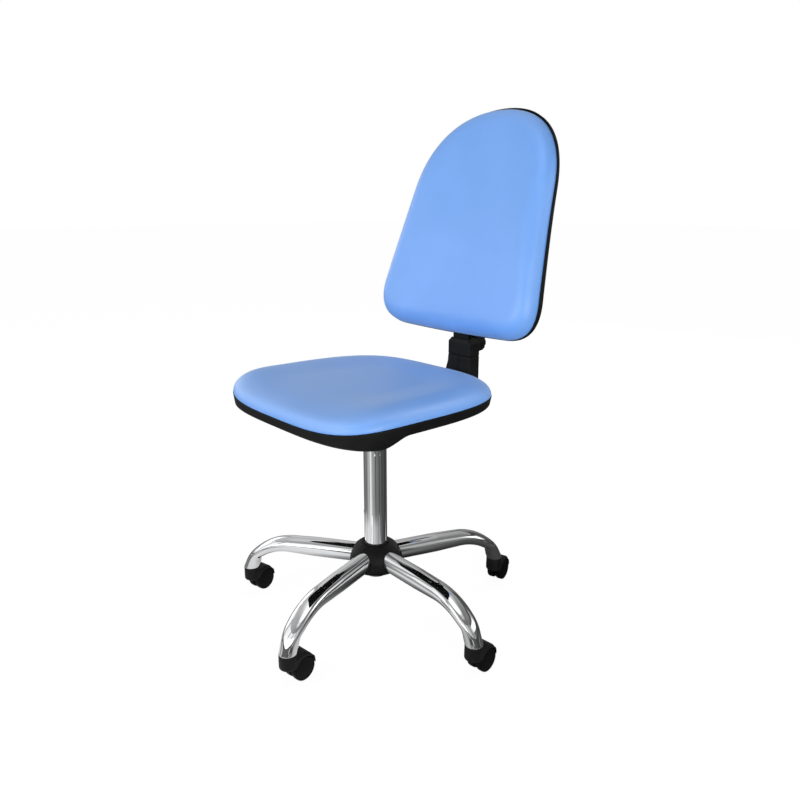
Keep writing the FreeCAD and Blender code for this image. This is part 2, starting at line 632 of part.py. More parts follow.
tilt_lever = cyl_x(TILT_HUB_R, TILT_HUB_X[0], TILT_HUB_X[1], HINGE_Y, HINGE_Z)
hinge_end = TILT_HUB_X[0] + TILT_HUB_END
tilt_lever = tilt_lever.cut(cyl_x(HINGE_R + RUN_GAP, hinge_end - RUN_GAP, 0, HINGE_Y, HINGE_Z))
tilt_rod = cyl_x(LEVER_R, TILT_END_X, TILT_HUB_X[0] + 1, HINGE_Y, HINGE_Z)
tilt_lever = tilt_lever.fuse(tilt_rod).removeSplitter()
tilt_grip = rounded_box(TILT_GRIP_X, TILT_GRIP_Y, (HINGE_Z - GRIP_T / 2, HINGE_Z + GRIP_T / 2), GRIP_ROUND)
tilt_grip = tilt_grip.cut(cyl_x(LEVER_R + RUN_GAP, TILT_END_X - RUN_GAP, 0, HINGE_Y, HINGE_Z))

# Post

bar_rear = BAR_Y + BAR_T
bend_y = BAR_Y - BAR_BEND_R
bend_z = HINGE_Z + BAR_T / 2 + BAR_BEND_R
slant = math.sqrt(0.5)


def yz(y, z):
    return V(-BAR_HALF, y, z)


inner_mid = yz(bend_y + BAR_BEND_R * slant, bend_z - BAR_BEND_R * slant)
outer_mid = yz(bend_y + (BAR_BEND_R + BAR_T) * slant, bend_z - (BAR_BEND_R + BAR_T) * slant)
low_top = HINGE_Z + BAR_T / 2
low_bottom = HINGE_Z - BAR_T / 2
bar_wire = Part.Wire([
    Part.LineSegment(yz(HINGE_Y, low_top), yz(bend_y, low_top)).toShape(),
    Part.Arc(yz(bend_y, low_top), inner_mid, yz(BAR_Y, bend_z)).toShape(),
    Part.LineSegment(yz(BAR_Y, bend_z), yz(BAR_Y, BAR_TOP)).toShape(),
    Part.LineSegment(yz(BAR_Y, BAR_TOP), yz(bar_rear, BAR_TOP)).toShape(),
    Part.LineSegment(yz(bar_rear, BAR_TOP), yz(bar_rear, bend_z)).toShape(),
    Part.Arc(yz(bar_rear, bend_z), outer_mid, yz(bend_y, low_bottom)).toShape(),
    Part.LineSegment(yz(bend_y, low_bottom), yz(HINGE_Y, low_bottom)).toShape(),
    Part.LineSegment(yz(HINGE_Y, low_bottom), yz(HINGE_Y, low_top)).toShape()])
back_bar = Part.Face(bar_wire).extrude(V(2 * BAR_HALF, 0, 0))
back_bar = back_bar.fuse(cyl_x(BARREL_R, -BARREL_HALF, BARREL_HALF, HINGE_Y, HINGE_Z))
hinge_hole = cyl_x(HINGE_R + RUN_GAP, -PLATE_HALF_X, PLATE_HALF_X, HINGE_Y, HINGE_Z)
back_bar = back_bar.cut(hinge_hole).removeSplitter()


def rectangle(half, front, rear, z, corner):
    """Rounded rectangle at one height, its corners as arcs."""
    points = []
    corners = ((1, rear, 0), (-1, rear, 90), (-1, front, 180), (1, front, 270))
    edges = []
    for side, y, start in corners:
        cx = side * (half - corner)
        cy = y - corner if y == rear else y + corner
        arc = []
        for step in (0, 45, 90):
            angle = math.radians(start + step)
            arc.append(V(cx + corner * math.cos(angle), cy + corner * math.sin(angle), z))
        points.append(arc)
    for i in range(4):
        edges.append(Part.Arc(points[i][0], points[i][1], points[i][2]).toShape())
        edges.append(Part.LineSegment(points[i][2], points[(i + 1) % 4][0]).toShape())
    return Part.Wire(edges)


cover_top = POST_SEAM_Z - SLIDE_GAP
post_levels = ((POST_FLARE, POST_BOTTOM_Z), (POST_WAIST, POST_WAIST_Z), ((0.0, 0.0), cover_top))
post_cover = skin([rectangle(POST_HALF + wider, POST_Y[0] - forward, POST_Y[1], z, POST_CORNER)
                   for (wider, forward), z in post_levels])
bar_slot = box((-BAR_HALF - SLIDE_GAP, BAR_HALF + SLIDE_GAP), (BAR_Y - SLIDE_GAP, bar_rear + SLIDE_GAP),
               (POST_BOTTOM_Z - 1, BAR_TOP))
seam_groove = box((-POST_GROOVE / 2, POST_GROOVE / 2), (0, POST_Y[0] + POST_GROOVE),
                  (POST_BOTTOM_Z - 1, cover_top))
post_cover = post_cover.cut(bar_slot).cut(seam_groove)

bevel_z = BLOCK_TOP - BLOCK_BEVEL[1]
block_foot = POST_SEAM_Z + SLIDE_GAP
clamp_block = skin([rectangle(POST_HALF, POST_Y[0], POST_Y[1], block_foot, POST_CORNER),
                    rectangle(POST_HALF, POST_Y[0], POST_Y[1], bevel_z, POST_CORNER),
                    rectangle(POST_HALF - BLOCK_BEVEL[0], POST_Y[0] + BLOCK_SET_BACK,
                              POST_Y[1] - BLOCK_BEVEL[0], BLOCK_TOP, POST_CORNER)])
clamp_block = clamp_block.cut(bar_slot)
clamp_block = clamp_block.cut(cyl_y(STUD_R + RUN_GAP, BAR_Y, POST_Y[1] + 1, 0, KNOB_Z))

# Backrest, first in its own frame: x across, y up the slope, z forward


def on_back(x, s, n):
    """Point of the leaning back in the chair's frame."""
    return V(x, BACK_Y + s * math.sin(BACK_LEAN) - n * math.cos(BACK_LEAN),
             BACK_Z + s * math.cos(BACK_LEAN) + n * math.sin(BACK_LEAN))


def bezier(points, t):
    """Point of the curve that a row of control points draws."""
    row = list(points)
    while len(row) > 1:
        row = [(a[0] + (b[0] - a[0]) * t, a[1] + (b[1] - a[1]) * t) for a, b in zip(row, row[1:])]
    return row[0]


def half_outline():
    """Right half of the back's outline from the bottom middle to the top middle."""
    low = (BACK_HALF_LOW, 0.0)
    high = (BACK_HALF_HIGH, BACK_SHOULDER)
    length = math.hypot(high[0] - low[0], high[1] - low[1])
    ex = (high[0] - low[0]) / length
    ey = (high[1] - low[1]) / length
    start = (low[0] - BACK_CORNER, -BACK_BELLY * (1 - ((low[0] - BACK_CORNER) / low[0]) ** 2))
    end = (low[0] + ex * BACK_CORNER, low[1] + ey * BACK_CORNER)
    rise = BACK_HEIGHT - BACK_SHOULDER
    arch = (high, (high[0] + ex * rise * 0.6, high[1] + ey * rise * 0.6),
            (BACK_HALF_HIGH * 0.6, BACK_HEIGHT), (0.0, BACK_HEIGHT))
    bottom = ((0.0, -BACK_BELLY), (start[0] * 0.5, -BACK_BELLY), start)
    points = []
    for curve, steps in ((bottom, 2), ((start, low, end), 4), ((end, high), 2), (arch, 6)):
        for i in range(steps):
            points.append(bezier(curve, i / steps))
    points.append((0.0, BACK_HEIGHT))
    return points


half = half_outline()
back_outline = half + [(-x, s) for x, s in half[-2:0:-1]]
back_centre = (0.0, BACK_HEIGHT * 0.45)


def bow(x, s):
    u = min(max(s / BACK_HEIGHT, 0.0), 1.0)
    return BACK_CURVE * x * x + BACK_LUMBAR * math.sin(math.pi * u)


def back_loop(inset, n, share=1.0):
    """Closed wire of the back's outline drawn in by an inset, at a depth n, with a share of its bow."""
    points = []
    for x, s in back_outline:
        away = math.hypot(x - back_centre[0], s - back_centre[1])
        k = (away - inset) / away
        px = back_centre[0] + (x - back_centre[0]) * k
        ps = back_centre[1] + (s - back_centre[1]) * k
        points.append(on_back(px, ps, n + share * bow(px, ps)))
    return loop(points)


def pad_rise(inset):
    return BACK_PAD * math.sqrt(1 - (1 - min(inset, BACK_ROUND) / BACK_ROUND) ** 2)


board_front = -SHELL_DEPTH + SHELL_WALL + BACK_BOARD_T
pad_wires = [back_loop(SHELL_FLAT + BACK_BOARD_LAP, board_front + SOFT_GAP, 0.0),
             back_loop(PAD_REAR[0], board_front + PAD_REAR[1], PAD_REAR[2]),
             back_loop(PAD_LIP, LIP_RISE), back_loop(SEAM_INSET, SEAM_RISE)]
for inset in PAD_INSETS + (BACK_ROUND,):
    pad_wires.append(back_loop(inset, pad_rise(inset)))
for inset, rise, share in PAD_FACE:
    pad_wires.append(back_loop(inset, BACK_PAD + rise, share))
back_cushion = skin(pad_wires)


def shell_row(wall):
    """Wires of one face of the shell, from its flat middle to the rim."""
    wires = [back_loop(SHELL_FLAT + wall, wall - SHELL_DEPTH, 0.0)]
    for inset, rise, share in SHELL_TURN:
        wires.append(back_loop(inset + wall, rise + wall - SHELL_DEPTH, share))
    wires.append(back_loop(wall, -RIM_STEP))
    return wires


back_shell = skin(shell_row(0.0) + shell_row(SHELL_WALL)[::-1])
board_wire = back_loop(SHELL_FLAT + BACK_BOARD_LAP, SHELL_WALL - SHELL_DEPTH, 0.0)
forward = on_back(0, 0, 1) - on_back(0, 0, 0)
back_board = Part.Face(board_wire).extrude(forward * BACK_BOARD_T)

strap_mid = STRAP_Y + STRAP_T / 2
strap_n = -SHELL_DEPTH - STRAP_T / 2
strap_bend_s = (strap_mid - BACK_Y + strap_n * math.cos(BACK_LEAN)) / math.sin(BACK_LEAN)
strap_bend = on_back(0, strap_bend_s, strap_n)
strap_low = V(0, strap_mid, STRAP_FOOT_Z)
strap_high = on_back(0, STRAP_TOP, strap_n)


def strap_plate(low, high, along):
    """Flat plate between two points of its middle line, lengthened at one end."""
    run = (high - low).normalize()
    facing = V(1, 0, 0).cross(run).normalize()
    corners = []
    for end, side in ((low, 1), (high + run * along, 1), (high + run * along, -1), (low, -1)):
        corners.append(end + facing * (side * STRAP_T / 2) + V(-STRAP_HALF, 0, 0))
    face = Part.Face(Part.makePolygon(corners + [corners[0]]))
    return face.extrude(V(2 * STRAP_HALF, 0, 0))


back_strap = strap_plate(strap_low, strap_bend, 0.3).fuse(strap_plate(strap_bend, strap_high, 0.0))
back_strap = back_strap.removeSplitter()
clamp_block = clamp_block.cut(box((-STRAP_HALF - RUN_GAP, STRAP_HALF + RUN_GAP),
                                  (STRAP_Y - RUN_GAP, STRAP_Y + STRAP_T + RUN_GAP),
                                  (STRAP_FOOT_Z - RUN_GAP, BLOCK_TOP + 1)))
back_screws = []
screw_length = STRAP_T + SHELL_WALL + SCREW_BITE
for s in SCREW_S:
    for x in (-SCREW_T, SCREW_T):
        foot = on_back(x, s, strap_n - STRAP_T / 2)
        shank = Part.makeCylinder(SCREW_R, screw_length, foot, forward)
        head = Part.makeCylinder(SCREW_HEAD[0], SCREW_HEAD[1], foot - forward * SCREW_HEAD[1], forward)
        back_screws.append(shank.fuse(head).removeSplitter())
        hole = Part.makeCylinder(SCREW_R + RUN_GAP, screw_length + RUN_GAP, foot, forward)
        back_strap = back_strap.cut(hole)
        back_shell = back_shell.cut(hole)
        back_board = back_board.cut(hole)

knob = cyl_y(KNOB_R, KNOB_Y[0], KNOB_Y[1], 0, KNOB_Z)
round_edges = [e for e in knob.Edges if e.Length > KNOB_R and len(e.Vertexes) == 1]
knob = knob.makeFillet(KNOB_ROUND, round_edges)
flute = cyl_y(FLUTE_R, KNOB_Y[0] + FLUTE_START, KNOB_Y[1] + 1, KNOB_R + FLUTE_OUT, KNOB_Z)
for k in range(KNOB_FLUTES):
    cutter = turned(flute, 360 / KNOB_FLUTES * (k + 0.5), V(0, 0, KNOB_Z), V(0, 1, 0))
    knob = knob.cut(cutter)
stud_end = KNOB_Y[0] + STUD_IN_KNOB
knob = knob.cut(cyl_y(STUD_R + RUN_GAP, 0, stud_end + RUN_GAP, 0, KNOB_Z))
clamp_stud = cyl_y(STUD_R, bar_rear + SLIDE_GAP, stud_end, 0, KNOB_Z)

# Casters, first with the stem on the Z axis and the wheels towards +X

wheel_mid = WEB_T / 2 + WHEEL_GAP
hood_half = wheel_mid + WHEEL_W + HOOD_SIDE
hood_in = WHEEL_R + HOOD_CLEAR
hood_out = hood_in + HOOD_WALL


def on_flank(x, z):
    return V(x, -hood_half, z)


def round_axle(radius, degrees):
    """Point on the hood's flank at a distance from the axle and an angle over its level."""
    turn = math.radians(degrees)
    return on_flank(TRAIL + radius * math.cos(turn), WHEEL_R + radius * math.sin(turn))


flat_end = on_flank(HOOD_FLAT, HOOD_TOP)
tail = round_axle(hood_out, HOOD_TAIL)
top_points = [flat_end, on_flank(TRAIL, HOOD_TOP + HOOD_CROWN)]
for extra, degrees in HOOD_FALL:
    top_points.append(round_axle(hood_out + extra, degrees))
top_line = Part.BSplineCurve()
top_line.interpolate(Points=top_points + [tail], InitialTangent=V(1, 0, 0), FinalTangent=V(0, 0, -1))
under = [tail, on_flank(TRAIL, tail.z), on_flank(TRAIL, NOSE_Z), on_flank(-hood_half, NOSE_Z),
         on_flank(-hood_half, HOOD_TOP), flat_end]
side_wire = Part.Wire([top_line.toShape()] + Part.makePolygon(under).Edges)
hood = Part.Face(side_wire).extrude(V(0, 2 * hood_half, 0))
far_x = TRAIL + hood_out + 5
nose_arc = Part.Arc(V(0, hood_half, 0), V(-hood_half, 0, 0), V(0, -hood_half, 0)).toShape()
plan_sides = Part.makePolygon([V(0, -hood_half, 0), V(far_x, -hood_half, 0),
                               V(far_x, hood_half, 0), V(0, hood_half, 0)])
hood = hood.common(Part.Face(Part.Wire([nose_arc] + plan_sides.Edges)).extrude(V(0, 0, 2 * HOOD_TOP)))
rim = []
for edge in hood.Edges:
    middle = edge.valueAt((edge.FirstParameter + edge.LastParameter) / 2)
    on_outline = middle.x < 0 or abs(middle.y) > hood_half - 0.01
    if on_outline and (abs(middle.z - NOSE_Z) < 0.01 or middle.z > HOOD_TOP - 0.01):
        rim.append(edge)
hood = hood.makeFillet(HOOD_ROUND, rim)
for side in (-1, 1):
    low, high = sorted((side * WEB_T / 2, side * 2 * hood_half))
    hood = hood.cut(cyl_y(hood_in, low, high, TRAIL, WHEEL_R))
hub_disc = cyl_y(AXLE_R + AXLE_BOSS, -WEB_T / 2, WEB_T / 2, TRAIL, WHEEL_R)
hood = hood.fuse(hub_disc).removeSplitter()
hood = hood.cut(cyl(STEM_R + RUN_GAP, STEM_Z[0] - RUN_GAP, 2 * HOOD_TOP))
hood = hood.cut(cyl_y(AXLE_R + RUN_GAP, -hood_half, hood_half, TRAIL, WHEEL_R))
hood = max(hood.Solids, key=lambda s: s.Volume)
axle_half = wheel_mid + WHEEL_W - WHEEL_FACE
axle = cyl_y(AXLE_R, -axle_half, axle_half, TRAIL, WHEEL_R)
stem = cyl(STEM_R, STEM_Z[0], STEM_Z[1])
wheel = cyl_y(WHEEL_R, wheel_mid, wheel_mid + WHEEL_W, TRAIL, WHEEL_R)
round_edges = [e for e in wheel.Edges if len(e.Vertexes) == 1 and e.Length > WHEEL_R]
wheel = wheel.makeFillet(WHEEL_ROUND, round_edges)
wheel_face = wheel_mid + WHEEL_W
wheel = wheel.cut(cyl_y(WHEEL_R - WHEEL_DISH[0], wheel_face - WHEEL_DISH[1], wheel_face + 1, TRAIL, WHEEL_R))
wheel = wheel.cut(cyl_y(AXLE_R + RUN_GAP, 0, axle_half + RUN_GAP, TRAIL, WHEEL_R))
other_wheel = wheel.mirror(V(0, 0, 0), V(0, 1, 0))

nodes = {
    "hub_core": [hub_core], "hub_cover": [hub_cover], "hub_cap": [hub_cap],
    "column_tube": [column_tube], "guide_sleeve": [guide_sleeve], "thrust_bearing": bearing,
    "piston_rod": [rod, clip, piston], "bump_stop": [bump_stop],
    "gas_cylinder": [gas_cylinder], "release_pin": [release_pin], "taper_socket": [taper_socket],
    "mechanism_housing": [housing], "pivot_pins": pivot_pins, "friction_discs": friction_discs,
    "seat_bolts": seat_bolts, "seat_inserts": seat_inserts, "seat_board": [seat_board],
    "seat_pan": [seat_pan], "seat_cushion": [seat_cushion],
    "height_lever": [height_lever], "height_lever_grip": [height_grip],
    "tilt_lever": [tilt_lever], "tilt_lever_grip": [tilt_grip],
    "back_bar": [back_bar], "post_cover": [post_cover], "clamp_block": [clamp_block],
    "back_strap": [back_strap], "back_shell": [back_shell], "back_board": [back_board],
    "back_cushion": [back_cushion], "back_screws": back_screws,
    "clamp_knob": [knob], "clamp_stud": [clamp_stud],
}


def at_leg(shape, number, heading):
    """Copy of a caster piece under a leg, turned to that caster's own heading."""
    angle = math.radians(heading)
    copy = turned(shape, TRAIL_DIRECTIONS[number])
    return moved(copy, STEM_CIRCLE * math.cos(angle), STEM_CIRCLE * math.sin(angle), 0)


caster_pieces = {"hood": [hood], "pins": [stem, axle], "wheel_left": [wheel], "wheel_right": [other_wheel]}
sockets = []
for k in range(LEGS):
    heading = FIRST_LEG + 360 / LEGS * k
    nodes["leg_%d" % (k + 1)] = [turned(leg, heading)]
    sockets.append(turned(socket, heading))
    for piece, solids in caster_pieces.items():
        nodes["caster_%d_%s" % (k + 1, piece)] = [at_leg(solid, k, heading) for solid in solids]
nodes["leg_sockets"] = sockets

os.makedirs("parts", exist_ok=True)
for name, solids in nodes.items():
    shape = solids[0] if len(solids) == 1 else Part.makeCompound(solids)
    shape.exportStep("parts/%s.step" % name)
    pieces = shape.Solids
    print(name, len(pieces), shape.isValid(), round(sum(s.Volume for s in pieces) / 1000, 1), "cm3")
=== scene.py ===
import json
import math

import bpy
import numpy as np
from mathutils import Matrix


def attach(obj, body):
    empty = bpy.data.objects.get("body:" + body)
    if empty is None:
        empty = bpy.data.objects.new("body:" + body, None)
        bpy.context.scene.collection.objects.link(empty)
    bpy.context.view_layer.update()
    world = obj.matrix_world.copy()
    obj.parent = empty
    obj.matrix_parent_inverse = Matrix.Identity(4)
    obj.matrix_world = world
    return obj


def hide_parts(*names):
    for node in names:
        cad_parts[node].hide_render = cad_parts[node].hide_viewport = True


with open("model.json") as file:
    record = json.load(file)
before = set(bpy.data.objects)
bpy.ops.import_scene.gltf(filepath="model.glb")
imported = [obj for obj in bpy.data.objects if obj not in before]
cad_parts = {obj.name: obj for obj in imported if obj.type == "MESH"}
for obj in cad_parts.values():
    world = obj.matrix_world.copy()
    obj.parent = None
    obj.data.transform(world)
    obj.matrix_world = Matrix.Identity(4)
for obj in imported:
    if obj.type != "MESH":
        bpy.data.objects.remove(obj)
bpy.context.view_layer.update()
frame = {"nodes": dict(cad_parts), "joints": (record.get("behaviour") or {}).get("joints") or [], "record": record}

# Pieces are sized in millimetres in the solids' frame: the sitter faces -Y, and the column is the Z axis.
# Finishes, lamps and camera are sized in metres.
MM = 0.001

# Sizes that both covers share
ROLL_POWER = 3.2
ROLL_START, ROLL_RINGS = 4.0, 44  # first ring's degrees into the roll, and rings
FACE_STEP, FACE_END, FACE_RINGS = 3.0, 196.0, 50  # step past the roll, last inset, rings
RING_CORE, RING_FADE = 60.0, 140.0  # inset where rings begin to shrink evenly, and run to nothing
EASE = 0.25  # unevenness of the stuffed faces

# Sizes of the seat
SEAT_HALF = 239.4
SEAT_FRONT, SEAT_WIDE, SEAT_REAR = -245.8, -108.6, 195.8  # Y of the front, the widest line and the rear
SEAT_FRONT_POWER, SEAT_REAR_POWER = 3.4, 3.6  # squareness of the outline before and behind that line
SEAT_MIDDLE_Y = -25.0
OUTLINE_STEPS = 16001
RIM_Z, RIM_SLOPE = 518.9, math.tan(math.radians(1.03))  # seam over the column, and its fall to the rear
RIM_DROP = 18.6  # fall of the seam at the front
BOARD_TOP = 507.3
# Underside of the cover: inset, and share of the way up from the board to the seam
SEAT_UNDER = ((120.0, 0.0), (60.0, 0.0), (36.0, 0.0), (27.0, 0.15), (18.0, 0.4), (10.0, 0.75))
SEAT_TUCK = ((4.0, 0.2), (2.4, 0.3), (1.3, 0.7), (0.8, 1.4))  # inset, and height over the seam
CROWN, CROWN_ROUND = 31.0, 72.0  # height of the cover over the seam, and width of its roll
DISH, DISH_INSETS = 8.0, (40.0, 120.0)
FALL_INSETS = (20.0, 130.0)  # the seam's fall fades out between these
SEAT_WAVES, SEAT_WAVE_INSETS = ((41.0, 0.7), (53.0, -0.4)), (30.0, 80.0)
GATHER, GATHERS, GATHER_INSET, GATHER_WIDTH = 0.22, 88.0, 7.0, 5.0  # height, number, place, width
PAN_Z, PAN_WALL = 488.0, 2.5
PAN_LIFT, PAN_GAP = 0.6, 0.3  # floor over the solid's underside, and rim under the seam
PAN_FLOOR = (190.0, 120.0, 66.0)  # insets of the flat floor's rings
PAN_SLOPE, PAN_SLOPE_END, PAN_FOOT = 62.0, 18.0, 13.0  # insets of the slope's start and end, and the foot
PAN_TURN, PAN_TURN_RISE = (13.5, 2.3), 8.0  # insets and rise of the rounded lower edge
PAN_SIDE = (0.25, 0.5, 0.75, 0.95, 1.0)  # shares of the way up the skirt's wall
PAN_TOP_IN = 0.35  # the top ring is drawn in
SKIRT, SKIRT_FRONT_DEEPER = 22.6, 17.4  # depth under the level rim, and more in front
SKIRT_STEP = (112.0, 182.0)  # distances before the column where it deepens

# Sizes of the back, most of them in its own plane: across, up its slope and forward
BACK_Y, BACK_Z, BACK_LEAN, BACK_HEIGHT = 238.4, 612.8, math.radians(17.86), 501.6
BACK_HALF_LOW, BACK_HALF_HIGH, BACK_SHOULDER = 239.0, 198.4, 317.0
BACK_CORNER, BACK_BELLY, BACK_ARCH = 85.0, 5.2, 0.6  # corner's size, bottom's bow, arch's pull
BACK_STEPS = 200
BACK_CENTRE = 0.45  # share of the height towards which rings shrink
BACK_CURVE, BACK_LUMBAR = 2.49e-4, 10.2  # bow across, as 1 / mm, and bow up the back
BACK_BOARD_FRONT = -2.2
# Rear of the cover: inset, distance before the board, and share of the bow
BACK_UNDER = ((150.0, 0.0, 0.0), (98.0, 0.0, 0.0), (70.0, 0.6, 0.45), (45.0, 1.6, 0.85), (20.0, 2.0, 0.95))
BACK_TUCK = ((3.2, 0.2), (2.0, 0.35), (1.2, 0.8), (0.8, 1.5))  # inset, and distance before the seam
BACK_PAD, BACK_ROUND = 42.0, 62.0  # thickness of the pad, and width of its roll
BACK_WAVES, BACK_WAVE_INSETS = ((47.0, -0.3), (58.0, 0.5)), (25.0, 80.0)
SHELL_DEPTH, SHELL_WALL, SHELL_GAP = 13.0, 2.5, 0.3
SHELL_MIDDLE = (180.0, 130.0, 92.0)  # insets of the flat middle's rings
SHELL_BAND, SHELL_TURN = 86.0, 14.0  # insets of the rings from the middle to the edge
SHELL_RISE, SHELL_EDGE = 1.5, 11.2  # rise of the rear, and of its edge
SHELL_TURN_IN, SHELL_TURN_MORE, SHELL_TURN_UP = 5.5, 6.5, (120.0, 420.0)  # edge's width and its growth
BOW_INSETS = (20.0, 92.0)  # the rear's bow fades out between these
CHANNEL_INSET, CHANNEL_DEPTH, CHANNEL_WIDTH = 27.0, 1.3, 2.2
LIP_UP = (0.0, 30.0, 70.0, 160.0, 380.0, 450.0, 502.0)
LIP_FORWARD = (0.3, 2.0, 4.5, 2.5, 2.5, 6.0, 7.0)
LIP_INSET = (0.0, 1.4, 2.8, 2.8, 2.8, 4.0, 4.4)
LIP_FROM, LIP_TO, LIP_STEPS, LIP_SOFT = -20.0, 520.0, 271, 25  # span, steps, and steps averaged
# Section of the lip: inset, share of its reach, and share of the rounding
LIP_SECTION = ((0.0, 0.5, 0.0), (0.0, 1.0, -0.7), (0.2, 1.0, -0.25), (0.7, 1.0, 0.0),
               (1.8, 1.0, 0.0), (2.3, 1.0, -0.25), (2.5, 1.0, -0.7), (2.5, 0.5, 0.0))
LIP_ROUND = 0.4

# Sizes of the legs and casters
LEGS, FIRST_LEG, LEG_Z = 5, 70.4, 137.0
LEG_START, LEG_BEND_R, LEG_END, LEG_REACH, LEG_TIP_Z = 30.0, 128.0, 15.0, 314.7, 67.0
LEG_BEND = (math.atan2(LEG_BEND_R, LEG_END)
            + math.asin((LEG_Z - LEG_TIP_Z - LEG_BEND_R) / math.hypot(LEG_BEND_R, LEG_END)))
LEG_BEND_START = LEG_REACH - LEG_BEND_R * math.sin(LEG_BEND) - LEG_END * math.cos(LEG_BEND)
LEG_BEND_RUN = LEG_BEND_R * LEG_BEND
LEG_LENGTH = LEG_BEND_START + LEG_BEND_RUN + LEG_END
LEG_LEVEL = (120.0, 145.0)  # places along the level run where the oval is given
# Half width and half height at the start, on the level run, at five places round the bend, and at the end
LEG_OVALS = ((21.5, 21.5), (21.5, 21.5), (21.5, 21.4), (21.2, 19.0), (21.0, 16.6), (20.8, 14.0),
             (20.2, 12.0), (19.2, 10.6), (18.4, 10.0))
LEG_STEPS, LEG_SOFT, LEG_MARGIN = 800, 15, 20.0  # steps, steps averaged, run past the ends
LEG_SQUARE, LEG_STEP = 0.35, 1.5  # growth of the oval's power round the bend, and first step into it
LEG_LIP, LEG_PLUG = 1.0, (6.0, 12.0)  # radius of the rounded end, and depths of the plug's rings
STEM_CIRCLE, TRAIL = 304.0, 27.0
MOUTH_R, MOUTH_Z, MOUTH_RUN, MOUTH_END = 18.2, 68.3, 62.0, 2.0
MOUTH_LEAN, MOUTH_RISE = 0.42, 0.9  # inward and upward run of the mouth's circles per mm
COLLAR_R, COLLAR_BORE, COLLAR_LOW, COLLAR_FLOOR = 18.3, 10.8, 52.5, 1.5
COLLAR_GAP, COLLAR_BEVEL, COLLAR_ROUND, COLLAR_MIDDLE = 0.7, 0.7, (0.5, 1.6), 2.0
TRAIL_DIRECTIONS = (105.8, 115.0, 103.3, 97.8, 95.7)
WHEEL_R, WHEEL_INNER, WHEEL_OUTER = 25.0, 3.1, 18.1
WHEEL_ROUND, WHEEL_CROWN, WHEEL_TREAD, WHEEL_MIDDLE = 2.5, 0.4, 3.5, 4.0
# Outer face: radius, and distance from a plane just inside the wheel's width
WHEEL_FACE = ((20.8, 0.0), (20.4, -0.1), (20.0, -0.45), (19.6, -0.5), (19.2, -0.4), (15.0, -0.15),
              (10.0, 0.0), (5.0, 0.08), (2.0, 0.1))
WHEEL_FACE_IN = 0.1

# Sizes of the column
TUBE_R, TUBE_LOW, TUBE_TOP = 25.0, 92.5, 392.0
TUBE_WALL, TUBE_ROUND, TUBE_FOOT, TUBE_INSIDE = 2.0, 1.2, 1.0, 6.0
DENT_ZONE = (365.0, 366.0)  # rings lie closer above this
DENT_Z, DENT_DEPTH, DENT_R, DENT_HEADINGS = 380.0, 0.9, 2.2, (-43.7, -17.2, 102.8, -137.2)

# Sizes of the post, the block on it and the knob
POST_FRONT, POST_REAR, POST_HALF = 253.0, 287.7, 34.5
POST_LOW, POST_WAIST, POST_SEAM, BLOCK_TOP = 487.0, 536.0, 552.6, 592.0
POST_WIDER, POST_FORWARD = (8.5, 0.5, 0.0), (9.5, 0.8, 0.0)  # flare at the foot, the waist and the seam
POST_CORNER, POST_GROOVE, POST_ROUND, POST_SEAM_HALF = 4.0, 1.0, 1.4, 0.3
POST_CREASE, COLLAR_CREASE = 40.0, 50.0  # degrees past which an edge stays sharp
BLOCK_BEVEL = 9.0
# Bevelled top: half width and rear drawn in, front drawn back, height over the bevel's foot
BLOCK_TOP_ROWS = ((0.8, 0.2, 1.2), (6.0, 2.0, 9.0))
KNOB_Z, KNOB_R, KNOB_FRONT, KNOB_REAR = 577.0, 23.0, 288.5, 324.0
KNOB_FACE_R, KNOB_ROUND, KNOB_FLUTES, KNOB_FLUTE = 14.0, 5.0, 8, 1.4
KNOB_RISE, KNOB_GRIP = 1.5, (8.0, 6.0)  # front edge's start, and the grip's distances from both ends
# Faces of the knob: radius, and distance from its front or its rear
KNOB_FRONT_FACE = ((4.0, 0.0), (12.0, 0.0), (14.0, 0.3))
KNOB_REAR_FACE = ((14.0, 0.0), (13.0, -0.8), (6.0, -0.8))

# Meshes

def smooth(low, high, x):
    """0 before low, 1 after high, and 3t^2 - 2t^3 between them."""
    t = np.clip((x - low) / (high - low), 0.0, 1.0)
    return t * t * (3.0 - 2.0 * t)


def bell(x, width, power=2):
    """Bell curve: e to the minus of the distance in widths to a power, with a flat top for 4."""
    return np.exp(-(x / width) ** power)


def squared_off(wave, power):
    """Cosine or sine for a squarer round: its size to the power 2/p, with its own sign."""
    return np.sign(wave) * np.abs(wave) ** (2 / power)


def turns(count):
    """Angles of a full turn as one row."""
    return np.linspace(0.0, 2 * math.pi, count, endpoint=False)[None, :]


def arc_angles(count, start=0.0, end=90.0):
    """Angles of an arc, whose ends are in degrees."""
    return np.radians(np.linspace(start, end, count))


def stack(*columns):
    """Arrays of any matching shapes as one array of points or of face corners."""
    return np.stack(np.broadcast_arrays(*columns), -1)


def turned(x, y, z, degrees):
    """Points turned about the Z axis."""
    c, s = math.cos(math.radians(degrees)), math.sin(math.radians(degrees))
    return stack(x * c - y * s, x * s + y * c, z)


def lathe(profile, count):
    """Rings of a profile of (radius, height) turned about the Z axis."""
    turn = turns(count)
    return stack(profile[:, :1] * np.cos(turn), profile[:, :1] * np.sin(turn), profile[:, 1:])


